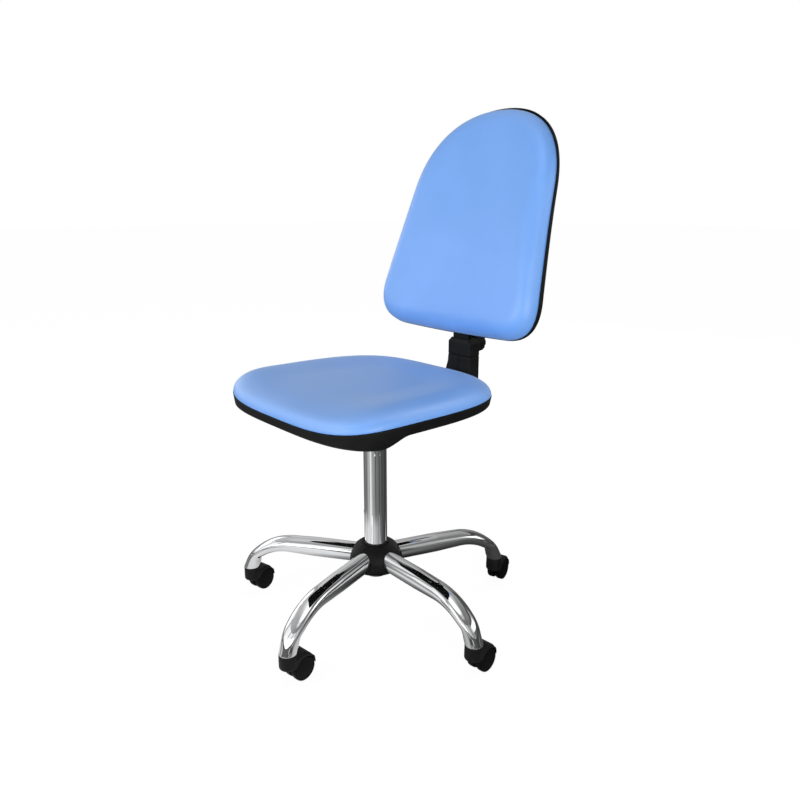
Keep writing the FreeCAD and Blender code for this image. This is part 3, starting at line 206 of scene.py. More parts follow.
def ring_mesh(name, rings):
    """Closed mesh of a pile of rings, an array of rings x points x 3 in millimetres: four-sided faces join
    each ring to the next, and a fan to its middle closes the first ring and the last. Where the volume
    comes out negative, all faces are turned round."""
    rows, cols = rings.shape[:2]
    ends = np.stack([rings[0].mean(0), rings[-1].mean(0)])
    points = np.concatenate([rings.reshape(-1, 3), ends])
    r = np.arange(rows - 1)[:, None] * cols
    c = np.arange(cols)[None, :]
    n = (c + 1) % cols
    quads = stack(r + c, r + n, r + cols + n, r + cols + c).reshape(-1, 4)
    low = stack(n[0], c[0], np.full(cols, rows * cols))
    high = stack(c[0], n[0], np.full(cols, rows * cols + 1)) + np.array([1, 1, 0]) * (rows - 1) * cols
    corners = np.concatenate([quads[:, [0, 1, 2]], quads[:, [0, 2, 3]], low, high])
    a, b, d = (points[corners[:, k]] for k in range(3))
    if (a * np.cross(b, d)).sum() < 0:
        quads, low, high = quads[:, ::-1], low[:, ::-1], high[:, ::-1]
    mesh = bpy.data.meshes.new(name)
    mesh.from_pydata((points * MM).tolist(), [], quads.tolist() + low.tolist() + high.tolist())
    mesh.polygons.foreach_set("use_smooth", np.ones(len(mesh.polygons), bool))
    mesh.update()
    return mesh


def add(name, data):
    """New object in the scene."""
    made = bpy.data.objects.new(name, data)
    bpy.context.scene.collection.objects.link(made)
    return made


# Covers

def roll(depth):
    """Height share of a rolled edge: the root of 1 less the depth still to go to a power, so that it starts
    upright and runs into the face with no sudden bend."""
    return np.sqrt(1.0 - (1.0 - depth) ** ROLL_POWER)


def rolled_face(edge_in, edge_up, width, height):
    """Insets and heights of a cover's rings: over the roll, and on at full height towards the middle."""
    depth = 1.0 - np.cos(arc_angles(ROLL_RINGS, ROLL_START))[:, None]
    level = np.linspace(width + FACE_STEP, FACE_END, FACE_RINGS)[:, None]
    inset = np.concatenate([edge_in + (width - edge_in) * depth, level + 0.0 * edge_in])
    lift = np.concatenate([edge_up + (height - edge_up) * roll(depth), np.full_like(level, height)])
    return inset, lift


def core_share(inset):
    """1 up to the core inset, and from there straight down to 0."""
    return np.clip(1.0 - (inset - RING_CORE) / RING_FADE, 0.0, 1.0)


def stuffing(x, y, waves, insets, inset):
    """Slight unevenness of a stuffed face: a sine wave each way, which fades in between two insets."""
    (long_x, start_x), (long_y, start_y) = waves
    return EASE * np.sin(x / long_x + start_x) * np.sin(y / long_y + start_y) * smooth(*insets, inset)


# Seat

def seat_outline(turn, inset):
    """Seat outline drawn in by an inset: cosine and sine of a turning angle, each to the power 2/p, times
    the half width and the depth. The front and the rear have their own p."""
    c, s = np.cos(turn), np.sin(turn)
    power = np.where(s > 0, SEAT_REAR_POWER, SEAT_FRONT_POWER)
    depth = np.where(s > 0, SEAT_REAR - SEAT_WIDE, SEAT_WIDE - SEAT_FRONT)
    return (SEAT_HALF - inset) * squared_off(c, power), SEAT_WIDE + (depth - inset) * squared_off(s, power)


def seat_turns(count):
    """Turning angles that lie at even steps along the seat outline, as one row."""
    dense = np.linspace(0.0, 2 * math.pi, OUTLINE_STEPS)
    x, y = seat_outline(dense, 0.0)
    length = np.concatenate([[0.0], np.cumsum(np.hypot(np.diff(x), np.diff(y)))])
    return np.interp(np.linspace(0.0, length[-1], count, endpoint=False), length, dense)[None, :]


def seat_ring(turn, inset):
    """Outline at an inset. Past the core inset the ring shrinks evenly to the seat's middle."""
    x, y = seat_outline(turn, np.minimum(inset, RING_CORE))
    share = core_share(inset)
    return x * share, SEAT_MIDDLE_Y + (y - SEAT_MIDDLE_Y) * share


def rim_height(y):
    """Height of the seam without its fall at the front: a straight line along the seat."""
    return RIM_Z - RIM_SLOPE * y


def rim_fall(y):
    """The seam comes down towards the front with the cube of the distance before the widest line."""
    return RIM_DROP * np.clip((SEAT_WIDE - y) / (SEAT_WIDE - SEAT_FRONT), 0.0, 1.0) ** 3


def skirt_height(y):
    """Height of the pan's foot: an even depth under the level rim, deeper in front by a smooth step."""
    return rim_height(y) - SKIRT - SKIRT_FRONT_DEEPER * smooth(*SKIRT_STEP, -y)


def seat_cover():
    """Rings from the underside over the rolled edge to the dished top. The seam's fall at the front fades
    out inwards, and the dish sinks by a smooth step. Slight gathers ring the corners: a cosine of many
    times the turning angle under a bell curve of the inset."""
    turn = seat_turns(360)
    seam = seat_outline(turn, 0.0)[1]
    rim = rim_height(seam) - rim_fall(seam)
    under, tuck = np.array(SEAT_UNDER), np.array(SEAT_TUCK)
    below = stack(*seat_ring(turn, under[:, :1]), BOARD_TOP + under[:, 1:] * (rim - BOARD_TOP))
    edge = stack(*seat_ring(turn, tuck[:, :1]), rim + tuck[:, 1:])
    inset, lift = rolled_face(*SEAT_TUCK[-1], CROWN_ROUND, CROWN)
    x, y = seat_ring(turn, inset)
    fall = rim_fall(seam) * (1.0 - smooth(*FALL_INSETS, inset))
    sink = DISH * smooth(*DISH_INSETS, inset)
    ease = stuffing(x, y, SEAT_WAVES, SEAT_WAVE_INSETS, inset)
    corners = np.abs(np.sin(2.0 * turn)) ** 3
    gather = GATHER * np.cos(turn * GATHERS) * bell(inset - GATHER_INSET, GATHER_WIDTH) * corners
    top = stack(x, y, rim_height(y) - fall + lift - sink + ease + gather)
    return np.concatenate([below, edge, top])


def seat_pan():
    """Rings of the moulded pan: flat floor, a slope out to the skirt, a rounded lower edge, the skirt's
    wall up to the rim, and the inner face a wall's thickness inside."""
    turn = seat_turns(300)
    seam = seat_outline(turn, 0.0)[1]
    rim = rim_height(seam) - rim_fall(seam) - PAN_GAP
    foot = skirt_height(seam)
    floor = PAN_Z + PAN_LIFT

    def face(wall):
        plan = np.concatenate([PAN_FLOOR, np.linspace(PAN_SLOPE, PAN_SLOPE_END, 10)])[:, None]
        rise = np.clip((PAN_SLOPE - plan) / (PAN_SLOPE - PAN_FOOT), 0.0, 1.0)
        slope = stack(*seat_ring(turn, plan + wall), floor + wall + (foot - floor) * rise)
        arc = arc_angles(14)[:, None]
        start, end = PAN_TURN
        x, y = seat_ring(turn, start - (start - end) * np.sin(arc) + wall)
        corner = stack(x, y, foot + wall + PAN_TURN_RISE * (1 - np.cos(arc)))
        up = np.array(PAN_SIDE)[:, None]
        lean = end * (1 - np.minimum(up / PAN_SIDE[-2], 1.0))
        x, y = seat_ring(turn, lean + wall + PAN_TOP_IN * (up == 1.0))
        side = stack(x, y, foot + wall + PAN_TURN_RISE + (rim - foot - wall - PAN_TURN_RISE) * up)
        return np.concatenate([slope, corner, side])

    return np.concatenate([face(0.0), face(PAN_WALL)[::-1]])


# Back

def bezier(corners, count):
    """Curve of a row of control points: each point times its share of the binomial of t and 1 - t."""
    t = np.linspace(0.0, 1.0, count, endpoint=False)[:, None]
    order = len(corners) - 1
    shares = [math.comb(order, k) * t ** k * (1 - t) ** (order - k) for k in range(order + 1)]
    return sum(share * np.array(corner) for share, corner in zip(shares, corners))


def even(points, count):
    """A closed outline of many points, taken again at even steps of its length."""
    closed = np.concatenate([points, points[:1]])
    length = np.concatenate([[0.0], np.cumsum(np.linalg.norm(np.diff(closed, axis=0), axis=1))])
    at = np.linspace(0.0, length[-1], count, endpoint=False)
    return np.stack([np.interp(at, length, closed[:, k]) for k in range(points.shape[1])], -1)


def back_outline(count):
    """Outline in the back's own plane: a bowed bottom, rounded lower corners, straight sides that lean in,
    and one arch over the top, mirrored about the middle."""
    low, high = np.array([BACK_HALF_LOW, 0.0]), np.array([BACK_HALF_HIGH, BACK_SHOULDER])
    run = (high - low) / np.linalg.norm(high - low)
    near = BACK_HALF_LOW - BACK_CORNER
    start = np.array([near, -BACK_BELLY * (1 - (near / BACK_HALF_LOW) ** 2)])
    end = low + run * BACK_CORNER
    rise = BACK_HEIGHT - BACK_SHOULDER
    top = (0.0, BACK_HEIGHT)
    arch = [high, high + run * rise * BACK_ARCH, (BACK_HALF_HIGH * BACK_ARCH, BACK_HEIGHT), top]
    half = np.concatenate([
        bezier([(0.0, -BACK_BELLY), (near / 2, -BACK_BELLY), start], BACK_STEPS),
        bezier([start, low, end], BACK_STEPS),
        bezier([end, high], BACK_STEPS),
        bezier(arch, 2 * BACK_STEPS),
        [top]])
    return even(np.concatenate([half, half[-2:0:-1] * (-1.0, 1.0)]), count)[None, :]


def back_ring(outline, inset):
    """Outline drawn towards the back's centre by an inset. Past the core inset it shrinks evenly."""
    centre = np.array([0.0, BACK_HEIGHT * BACK_CENTRE])
    arm = outline - centre
    away = np.linalg.norm(arm, axis=-1)
    share = (away - np.minimum(inset, RING_CORE)) / away * core_share(inset)
    return centre[0] + arm[..., 0] * share, centre[1] + arm[..., 1] * share


def back_bow(x, s):
    """Forward bow: a parabola across and half a sine wave up the back."""
    return BACK_CURVE * x * x + BACK_LUMBAR * np.sin(math.pi * np.clip(s / BACK_HEIGHT, 0.0, 1.0))


def on_back(x, s, n):
    """Points of the leaning back in the chair's frame: x across, s up the slope, n forward."""
    c, t = math.cos(BACK_LEAN), math.sin(BACK_LEAN)
    return stack(x, BACK_Y + s * t - n * c, BACK_Z + s * c + n * t)


def lip(outline, sizes):
    """Size of the shell's lip round the outline, read by height and smoothed by a running mean."""
    up = np.linspace(LIP_FROM, LIP_TO, LIP_STEPS)
    padded = np.pad(np.interp(up, LIP_UP, sizes), LIP_SOFT // 2, "edge")
    eased = np.convolve(padded, np.ones(LIP_SOFT) / LIP_SOFT, "valid")
    return np.interp(outline[..., 1], up, eased)


def back_cover():
    """Rings from the cover's rear over the rolled edge to the bowed face."""
    outline = back_outline(380)
    under, tuck = np.array(BACK_UNDER), np.array(BACK_TUCK)
    x, s = back_ring(outline, under[:, :1])
    below = on_back(x, s, BACK_BOARD_FRONT + under[:, 1:2] + under[:, 2:] * back_bow(x, s))
    lip_in = lip(outline, LIP_INSET)
    x, s = back_ring(outline, tuck[:, :1] + lip_in)
    edge = on_back(x, s, tuck[:, 1:] + back_bow(x, s))
    edge_in, edge_up = BACK_TUCK[-1]
    inset, lift = rolled_face(edge_in + lip_in, edge_up, BACK_ROUND, BACK_PAD)
    x, s = back_ring(outline, inset)
    ease = stuffing(x, s, BACK_WAVES, BACK_WAVE_INSETS, inset)
    face = on_back(x, s, lift + back_bow(x, s) + ease)
    return np.concatenate([below, edge, face])


def back_shell():
    """Rings of the moulded shell: flat middle, a rear that follows the bow towards its edge, an edge that
    is a quarter of an ellipse, a rounded lip that reaches forward round the cover, and the inner face a
    wall's thickness inside. A bell-shaped channel runs round the rear."""
    outline = back_outline(320)
    up = outline[..., 1]

    def face(wall):
        arc = arc_angles(16)[:, None]
        flat = np.concatenate([SHELL_MIDDLE, np.linspace(SHELL_BAND, SHELL_TURN, 60)])[:, None] + 0.0 * up
        turn_in = SHELL_TURN_IN + SHELL_TURN_MORE * smooth(*SHELL_TURN_UP, up)
        inset = np.concatenate([flat, turn_in * (1 - np.sin(arc))])
        rise = np.concatenate([SHELL_RISE * smooth(-SHELL_MIDDLE[-1], -SHELL_TURN, -flat),
                               SHELL_RISE + SHELL_EDGE * (1 - np.cos(arc)) + 0.0 * turn_in])
        x, s = back_ring(outline, inset + wall)
        channel = CHANNEL_DEPTH * bell(inset - CHANNEL_INSET, CHANNEL_WIDTH) * (wall == 0.0)
        depth = np.minimum(rise + channel + wall, SHELL_DEPTH - SHELL_GAP) - SHELL_DEPTH
        bowed = 1.0 - smooth(*BOW_INSETS, inset)
        return on_back(x, s, depth + bowed * back_bow(x, s))

    section = np.array(LIP_SECTION)
    x, s = back_ring(outline, section[:, :1])
    reach = section[:, 1:2] * lip(outline, LIP_FORWARD) + section[:, 2:] * LIP_ROUND
    rim = on_back(x, s, reach + back_bow(x, s))
    return np.concatenate([face(0.0), rim, face(SHELL_WALL)[::-1]])


# Base

def leg_heading(number):
    """Heading of a leg in degrees."""
    return FIRST_LEG + 360.0 / LEGS * number


def stem(number):
    """Place of a caster's stem in plan."""
    way = math.radians(leg_heading(number))
    return STEM_CIRCLE * np.array([math.cos(way), math.sin(way), 0.0])


def leg_halves(along):
    """Half width and half height of the leg's oval, read along its line and smoothed."""
    bend = LEG_BEND_START + LEG_BEND_RUN * np.linspace(0.0, 1.0, 5)
    at = np.concatenate([[LEG_START, *LEG_LEVEL], bend, [LEG_LENGTH]])
    dense = np.linspace(LEG_START - LEG_MARGIN, LEG_LENGTH + LEG_MARGIN, LEG_STEPS)
    soft = np.ones(LEG_SOFT) / LEG_SOFT
    eased = (np.convolve(np.interp(dense, at, sizes), soft, "same") for sizes in zip(*LEG_OVALS))
    return [np.interp(np.minimum(along, LEG_LENGTH), dense, sizes) for sizes in eased]


def leg_line(along):
    """Reach, height and downward turn of the leg's line: level, an arc down, a short straight end."""
    fall = np.clip((along - LEG_BEND_START) / LEG_BEND_R, 0.0, LEG_BEND)
    past = np.clip(along - LEG_BEND_START - LEG_BEND_RUN, 0.0, None)
    out = np.minimum(along, LEG_BEND_START) + LEG_BEND_R * np.sin(fall) + past * np.cos(fall)
    height = LEG_Z - LEG_BEND_R * (1.0 - np.cos(fall)) - past * np.sin(fall)
    return out, height, fall


def leg_tube(number):
    """Oval carried along the leg's line, square to it. Over the last stretch it passes by a smooth step
    into level circles, which lean inwards as they rise from a mouth round the caster's stem. The end turns
    in round half a circle to a plug inside."""
    level = np.linspace(LEG_START, LEG_BEND_START, 60)
    outer = np.concatenate([level, np.linspace(LEG_BEND_START + LEG_STEP, LEG_LENGTH, 120)])
    turn_in = arc_angles(9, end=180.0)[1:]
    plug = LEG_LENGTH - np.array(LEG_PLUG)
    along = np.concatenate([outer, LEG_LENGTH + LEG_LIP * np.sin(turn_in), plug])
    shrink = np.concatenate([0.0 * outer, LEG_LIP * (1.0 - np.cos(turn_in)), 0.0 * plug + 2 * LEG_LIP])
    half_width, half_height = ((half - shrink)[:, None] for half in leg_halves(along))
    out, height, fall = (row[:, None] for row in leg_line(along))
    turn = turns(96)
    c, s = np.cos(turn), np.sin(turn)
    power = 2.0 + LEG_SQUARE * smooth(LEG_BEND_START, LEG_BEND_START + LEG_BEND_RUN, along)[:, None]
    side = half_width * squared_off(c, power)
    lift = half_height * squared_off(s, power)
    r = out + lift * np.sin(fall)
    z = height + lift * np.cos(fall)
    mouth = smooth(LEG_LENGTH - MOUTH_RUN, LEG_LENGTH - MOUTH_END, along)[:, None]
    before = (LEG_LENGTH - along)[:, None]
    circle = (MOUTH_R - shrink)[:, None]
    side = side + mouth * (circle * c - side)
    r = r + mouth * (STEM_CIRCLE - MOUTH_LEAN * before + circle * s - r)
    z = z + mouth * (MOUTH_Z + MOUTH_RISE * before - z)
    return turned(r, side, z, leg_heading(number))


def column():
    """Turned tube with a rounded top edge. Crimp marks sink it by a bell curve of the distance."""
    arc = arc_angles(6)
    heights = np.concatenate([np.linspace(TUBE_LOW + TUBE_FOOT, DENT_ZONE[0], 40),
                              np.linspace(DENT_ZONE[1], TUBE_TOP - TUBE_ROUND, 50)])
    foot = [[TUBE_R - TUBE_FOOT, TUBE_LOW]]
    top = stack(TUBE_R - TUBE_ROUND * (1 - np.cos(arc)), TUBE_TOP - TUBE_ROUND * (1 - np.sin(arc)))
    inside = [[TUBE_R - TUBE_WALL, TUBE_TOP], [TUBE_R - TUBE_WALL, TUBE_TOP - TUBE_INSIDE]]
    rings = lathe(np.concatenate([foot, stack(TUBE_R, heights), top, inside]), 240)
    angle = np.arctan2(rings[..., 1], rings[..., 0])
    sink = np.zeros_like(angle)
    for heading in DENT_HEADINGS:
        across = TUBE_R * np.angle(np.exp(1j * (angle - math.radians(heading))))
        sink += DENT_DEPTH * bell(np.hypot(across, rings[..., 2] - DENT_Z), DENT_R)
    rings[..., :2] *= (1.0 - sink / TUBE_R)[..., None]
    return rings


def wheel(number, side):
    """Turned wheel: flat inner face, a tread with a parabola's slight crown between rounded edges, and an
    outer face with a shallow groove inside its rim. It is turned about the axle and set behind the caster's
    stem at the caster's own heading."""
    middle, half = (WHEEL_INNER + WHEEL_OUTER) / 2, (WHEEL_OUTER - WHEEL_INNER) / 2
    edge = arc_angles(7)
    shoulder = WHEEL_R - WHEEL_CROWN - WHEEL_ROUND
    inner = stack(shoulder + WHEEL_ROUND * np.sin(edge), WHEEL_INNER + WHEEL_ROUND * (1 - np.cos(edge)))
    tread = np.linspace(WHEEL_INNER + WHEEL_TREAD, WHEEL_OUTER - WHEEL_TREAD, 7)
    crown = stack(WHEEL_R - WHEEL_CROWN * ((tread - middle) / half) ** 2, tread)
    outer = stack(shoulder + WHEEL_ROUND * np.cos(edge), WHEEL_OUTER - WHEEL_ROUND * (1 - np.sin(edge)))
    face = np.array(WHEEL_FACE) + (0.0, WHEEL_OUTER - WHEEL_FACE_IN)
    rings = lathe(np.concatenate([[[WHEEL_MIDDLE, WHEEL_INNER]], inner, crown, outer, face]), 96)
    x, y, z = TRAIL + rings[..., 0], side * rings[..., 2], WHEEL_R + rings[..., 1]
    return turned(x, y, z, TRAIL_DIRECTIONS[number]) + stem(number)


def collar(number):
    """Turned cup between a caster's hood and the mouth of its leg, open at the top."""
    top, floor = MOUTH_Z - COLLAR_GAP, COLLAR_LOW + COLLAR_FLOOR
    short, long = COLLAR_ROUND
    profile = np.array([[COLLAR_MIDDLE, floor], [COLLAR_BORE, floor], [COLLAR_BORE, top - COLLAR_BEVEL],
                        [COLLAR_BORE + COLLAR_BEVEL, top], [COLLAR_R - long, top],
                        [COLLAR_R - short, top - short], [COLLAR_R, top - long], [COLLAR_R, COLLAR_LOW],
                        [COLLAR_MIDDLE, COLLAR_LOW]])
    return lathe(profile, 96) + stem(number)


# Post

def post_section(half, front, rear, corner, groove):
    """Rounded rectangle, one quarter circle at each corner, with a narrow groove down the middle of its
    front. Where the front is wider than the post, the rear keeps the post's width."""
    arc = arc_angles(9)
    c, s = corner * np.cos(arc), corner * np.sin(arc)
    front_x = np.array([-0.6, -0.2, -0.03, -0.018, -0.006, 0.006, 0.018, 0.03, 0.2, 0.6]) * (half - corner)
    dip = groove * np.array([0, 0, 0, 1, 1, 1, 1, 0, 0, 0])
    rear_half = min(half, POST_HALF)
    x = np.concatenate([rear_half - corner + c, -rear_half + corner - s, -half + corner - c, front_x,
                        half - corner + s])
    y = np.concatenate([rear - corner + s, rear - corner + c, front + corner - s, front + dip,
                        front + corner - c])
    return x, y


def post_rings(levels):
    """Sections of the post at their heights, from rows of all their sizes."""
    rings = []
    for half, front, rear, height, corner, groove in levels:
        rings.append(stack(*post_section(half, front, rear, corner, groove), height))
    return np.stack(rings)


def rounded_levels(rows, radius):
    """Rows of the post with both ends rounded: sections near an end draw in along a quarter circle."""
    def drawn_in(row, angle, up):
        draw, gone = radius * (1 - np.cos(angle)), radius * (1 - np.sin(angle))
        return np.array(row) + (-draw, draw, -draw, up * gone, 0.0, 0.0)

    arc = arc_angles(6, end=80.0)
    low = [drawn_in(rows[0], angle, 1.0) for angle in arc[::-1]]
    high = [drawn_in(rows[-1], angle, -1.0) for angle in arc]
    return low + list(rows[1:-1]) + high


def post_cover():
    """Flared lower cover: its half width and front run straight from foot to waist to seam."""
    z = np.linspace(POST_LOW, POST_SEAM - POST_SEAM_HALF, 14)
    levels = (POST_LOW, POST_WAIST, POST_SEAM)
    wider, forward = (np.interp(z, levels, flare) for flare in (POST_WIDER, POST_FORWARD))
    rows = stack(POST_HALF + wider, POST_FRONT - forward, POST_REAR, z, POST_CORNER, POST_GROOVE)
    return post_rings(rounded_levels(rows, POST_ROUND))


def clamp_block():
    """Upper block: the post's plain section, drawn in over a bevel at the top."""
    bevel = BLOCK_TOP - BLOCK_BEVEL
    rows = [(POST_HALF, POST_FRONT, POST_REAR, z, POST_CORNER, 0.0)
            for z in np.linspace(POST_SEAM + POST_SEAM_HALF, bevel, 8)]
    rows += [(POST_HALF - draw, POST_FRONT + back, POST_REAR - draw, bevel + up, POST_CORNER, 0.0)
             for draw, back, up in BLOCK_TOP_ROWS]
    return post_rings(rounded_levels(rows, POST_ROUND))


def knob():
    """Turned knob with rounded ends. Shallow flutes sink its radius where the cosine of eight times the
    angle is low, and fade out towards the middle of its faces."""
    arc = arc_angles(8)
    depth = KNOB_REAR - KNOB_FRONT
    swell = stack(KNOB_FACE_R + (KNOB_R - KNOB_FACE_R) * np.sin(arc),
                  KNOB_RISE + KNOB_ROUND * (1 - np.cos(arc)))
    grip = stack(KNOB_R, np.linspace(KNOB_GRIP[0], depth - KNOB_GRIP[1], 4))
    edge = stack(KNOB_R - KNOB_ROUND * (1 - np.cos(arc)), depth - KNOB_ROUND * (1 - np.sin(arc)))
    rear = np.array(KNOB_REAR_FACE) + (0.0, depth)
    radius, at = np.concatenate([KNOB_FRONT_FACE, swell, grip, edge, rear]).T[:, :, None]
    turn = turns(192)
    flutes = smooth(0.3, 1.0, -np.cos(KNOB_FLUTES * turn))
    r = radius - KNOB_FLUTE * flutes * smooth(KNOB_FACE_R, KNOB_R, radius)
    return stack(r * np.cos(turn), KNOB_FRONT + at, KNOB_Z + r * np.sin(turn))


# Finishes

def group(name, inputs, outputs):
    """New shader node group with a vector input, float inputs with their defaults, and float outputs."""
    tree = bpy.data.node_groups.new(name, "ShaderNodeTree")
    tree.interface.new_socket("Vector", in_out="INPUT", socket_type="NodeSocketVector")
    for label, value in inputs.items():
        tree.interface.new_socket(label, in_out="INPUT", socket_type="NodeSocketFloat").default_value = value
    for label in outputs:
        tree.interface.new_socket(label, in_out="OUTPUT", socket_type="NodeSocketFloat")
    return tree, tree.nodes.new("NodeGroupInput"), tree.nodes.new("NodeGroupOutput")


def node(tree, kind, values=None, **settings):
    """New node with its settings and the values of its unlinked sockets."""
    made = tree.nodes.new(f"ShaderNode{kind}")
    for key, value in settings.items():
        setattr(made, key, value)
    for key, value in (values or {}).items():
        made.inputs[key].default_value = value
    return made


def join(tree, *links):
    """Links an output of one node to an input of another, each given by its name or number."""
    for start, output, end, socket in links:
        tree.links.new(start.outputs[output], end.inputs[socket])


def grain_group():
    """Embossed leather grain: rounded cells with valleys between them, and fine pores on top."""
    tree, start, end = group("leather_grain", {"Cells": 700.0}, ("Height", "Valley"))
    bend = node(tree, "TexNoise", {"Scale": 260.0, "Detail": 2.0})
    shift = node(tree, "VectorMath", {1: (0.0009, 0.0009, 0.0009)}, operation="MULTIPLY_ADD")
    cells = node(tree, "TexVoronoi", {"Smoothness": 0.35}, feature="SMOOTH_F1")
    valley = node(tree, "MapRange", {"From Min": 0.25, "From Max": 0.75}, interpolation_type="SMOOTHSTEP")
    pores = node(tree, "TexNoise", {"Scale": 2600.0, "Detail": 3.0, "Roughness": 0.6})
    pits = node(tree, "Math", {1: 0.3}, operation="MULTIPLY")
    height = node(tree, "Math", operation="SUBTRACT")
    join(tree, (start, "Vector", bend, "Vector"), (bend, "Color", shift, 0), (start, "Vector", shift, 2),
         (shift, 0, cells, "Vector"), (start, "Cells", cells, "Scale"),
         (cells, "Distance", valley, "Value"), (start, "Vector", pores, "Vector"),
         (pores, "Fac", pits, 0), (pits, 0, height, 0), (valley, "Result", height, 1),
         (height, 0, end, "Height"), (valley, "Result", end, "Valley"))
    return tree


def mottle_group():
    """Slow cloudy change between a low and a high value."""
    tree, start, end = group("cloudy_change", {"Scale": 20.0, "Low": 0.4, "High": 0.6}, ("Value", "Share"))
    clouds = node(tree, "TexNoise", {"Detail": 4.0, "Roughness": 0.55})
    share = node(tree, "MapRange", {"From Min": 0.3, "From Max": 0.7}, interpolation_type="SMOOTHSTEP")
    value = node(tree, "MapRange")
    join(tree, (start, "Vector", clouds, "Vector"), (start, "Scale", clouds, "Scale"),
         (clouds, "Fac", share, "Value"), (share, "Result", value, "Value"),
         (start, "Low", value, "To Min"), (start, "High", value, "To Max"),
         (value, "Result", end, "Value"), (share, "Result", end, "Share"))
    return tree


def stipple_group():
    """Fine moulded stipple: small noise with a coarser one under it."""
    tree, start, end = group("moulded_stipple", {"Scale": 1500.0}, ("Height",))
    fine = node(tree, "TexNoise", {"Detail": 3.0, "Roughness": 0.6})
    coarse = node(tree, "TexNoise", {"Scale": 320.0, "Detail": 2.0})
    both = node(tree, "Math", {1: 0.5}, operation="MULTIPLY_ADD")
    join(tree, (start, "Vector", fine, "Vector"), (start, "Scale", fine, "Scale"),
         (start, "Vector", coarse, "Vector"), (coarse, "Fac", both, 0), (fine, "Fac", both, 2),
         (both, 0, end, "Height"))
    return tree


def scuff_group():
    """Sparse fine scratches: noise drawn out along one axis and cut to its ridges, in two directions."""
    tree, start, end = group("fine_scratches", {"Scale": 60.0}, ("Mask",))
    most = node(tree, "Math", operation="MAXIMUM")
    ways = (((0.3, 0.2, 0.5), (1.0, 14.0, 14.0)), ((-0.4, 0.6, -0.9), (12.0, 1.0, 12.0)))
    for k, (turn, stretch) in enumerate(ways):
        way = node(tree, "Mapping", {"Rotation": turn, "Scale": stretch})
        lines = node(tree, "TexNoise", {"Detail": 2.0})
        ridge = node(tree, "MapRange", {"From Min": 0.62, "From Max": 0.7})
        join(tree, (start, "Vector", way, "Vector"), (way, 0, lines, "Vector"),
             (start, "Scale", lines, "Scale"), (lines, "Fac", ridge, "Value"), (ridge, "Result", most, k))
    join(tree, (most, 0, end, "Mask"))
    return tree


GRAIN, MOTTLE, STIPPLE, SCUFF = grain_group(), mottle_group(), stipple_group(), scuff_group()


def finish(name, sockets):
    """New material, its tree, and its shader with constant sockets set."""
    material = bpy.data.materials.new(name)
    material.use_nodes = True
    tree = material.node_tree
    shader = tree.nodes["Principled BSDF"]
    for key, value in sockets.items():
        shader.inputs[key].default_value = value
    return material, tree, shader


def use(tree, effect, values):
    """Places a node group in a material with its own values, fed by the object coordinates."""
    placed = node(tree, "Group", values, node_tree=effect)
    join(tree, (node(tree, "TexCoord"), "Object", placed, "Vector"))
    return placed


def tones(tree, shader, share, output, dark, light):
    """Base colour between two tones by a share, which is the output of a node."""
    mix = node(tree, "Mix", data_type="RGBA")
    colours = [s for s in mix.inputs if s.type == "RGBA"]
    colours[0].default_value, colours[1].default_value = (*dark, 1.0), (*light, 1.0)
    join(tree, (share, output, mix, 0))
    tree.links.new(next(s for s in mix.outputs if s.type == "RGBA"), shader.inputs["Base Color"])


def relief(tree, shader, source, output, strength, distance):
    """Bump of a height, which is the output of a node, in the shader's normal."""
    bump = node(tree, "Bump", {"Strength": strength, "Distance": distance})
    join(tree, (source, output, bump, "Height"), (bump, 0, shader, "Normal"))


def blue_vinyl():
    """Light blue leatherette: embossed grain, slightly darker valleys, a soft uneven gloss."""
    material, tree, shader = finish("blue_vinyl", {
        "IOR": 1.47, "Specular IOR Level": 1.0, "Sheen Weight": 0.15, "Sheen Roughness": 0.45,
        "Sheen Tint": (0.8, 1.0, 1.0, 1.0)})
    grain = use(tree, GRAIN, {"Cells": 720.0})
    cloud = use(tree, MOTTLE, {"Scale": 9.0, "Low": 0.37, "High": 0.46})
    share = node(tree, "Math", {1: -0.35}, operation="MULTIPLY_ADD", use_clamp=True)
    tones(tree, shader, share, 0, (0.143, 0.36, 0.85), (0.158, 0.38, 0.885))
    join(tree, (grain, "Valley", share, 0), (cloud, "Share", share, 2),
         (cloud, "Value", shader, "Roughness"))
    relief(tree, shader, grain, "Height", strength=0.25, distance=0.00025)
    return material


def moulded(name, greys, gloss, stipple, strength, shine=0.13):
    """Moulded or painted surface: two near greys, fine stipple, and scratches that look paler."""
    material, tree, shader = finish(name, {"IOR": 1.46, "Specular IOR Level": shine})
    cloud = use(tree, MOTTLE, {"Scale": 34.0, "Low": gloss[0], "High": gloss[1]})
    marks = use(tree, SCUFF, {"Scale": 70.0})
    bumps = use(tree, STIPPLE, {"Scale": stipple})
    share = node(tree, "Math", {1: 0.4}, operation="MULTIPLY_ADD", use_clamp=True)
    tones(tree, shader, share, 0, (greys[0],) * 3, (greys[1],) * 3)
    join(tree, (marks, "Mask", share, 0), (cloud, "Share", share, 2),
         (cloud, "Value", shader, "Roughness"))
    relief(tree, shader, bumps, "Height", strength, distance=0.0002)
    return material


def plated(name, dark, light, gloss, scratches):
    """Bright metal: a cloudy polish and fine scratches in the roughness."""
    material, tree, shader = finish(name, {"Metallic": 1.0})
    cloud = use(tree, MOTTLE, {"Scale": 26.0, "Low": gloss[0], "High": gloss[1]})
    marks = use(tree, SCUFF, {"Scale": 90.0})
    rough = node(tree, "Math", {1: scratches}, operation="MULTIPLY_ADD")
    tones(tree, shader, cloud, "Share", dark, light)
    join(tree, (marks, "Mask", rough, 0), (cloud, "Value", rough, 2), (rough, 0, shader, "Roughness"))
    return material


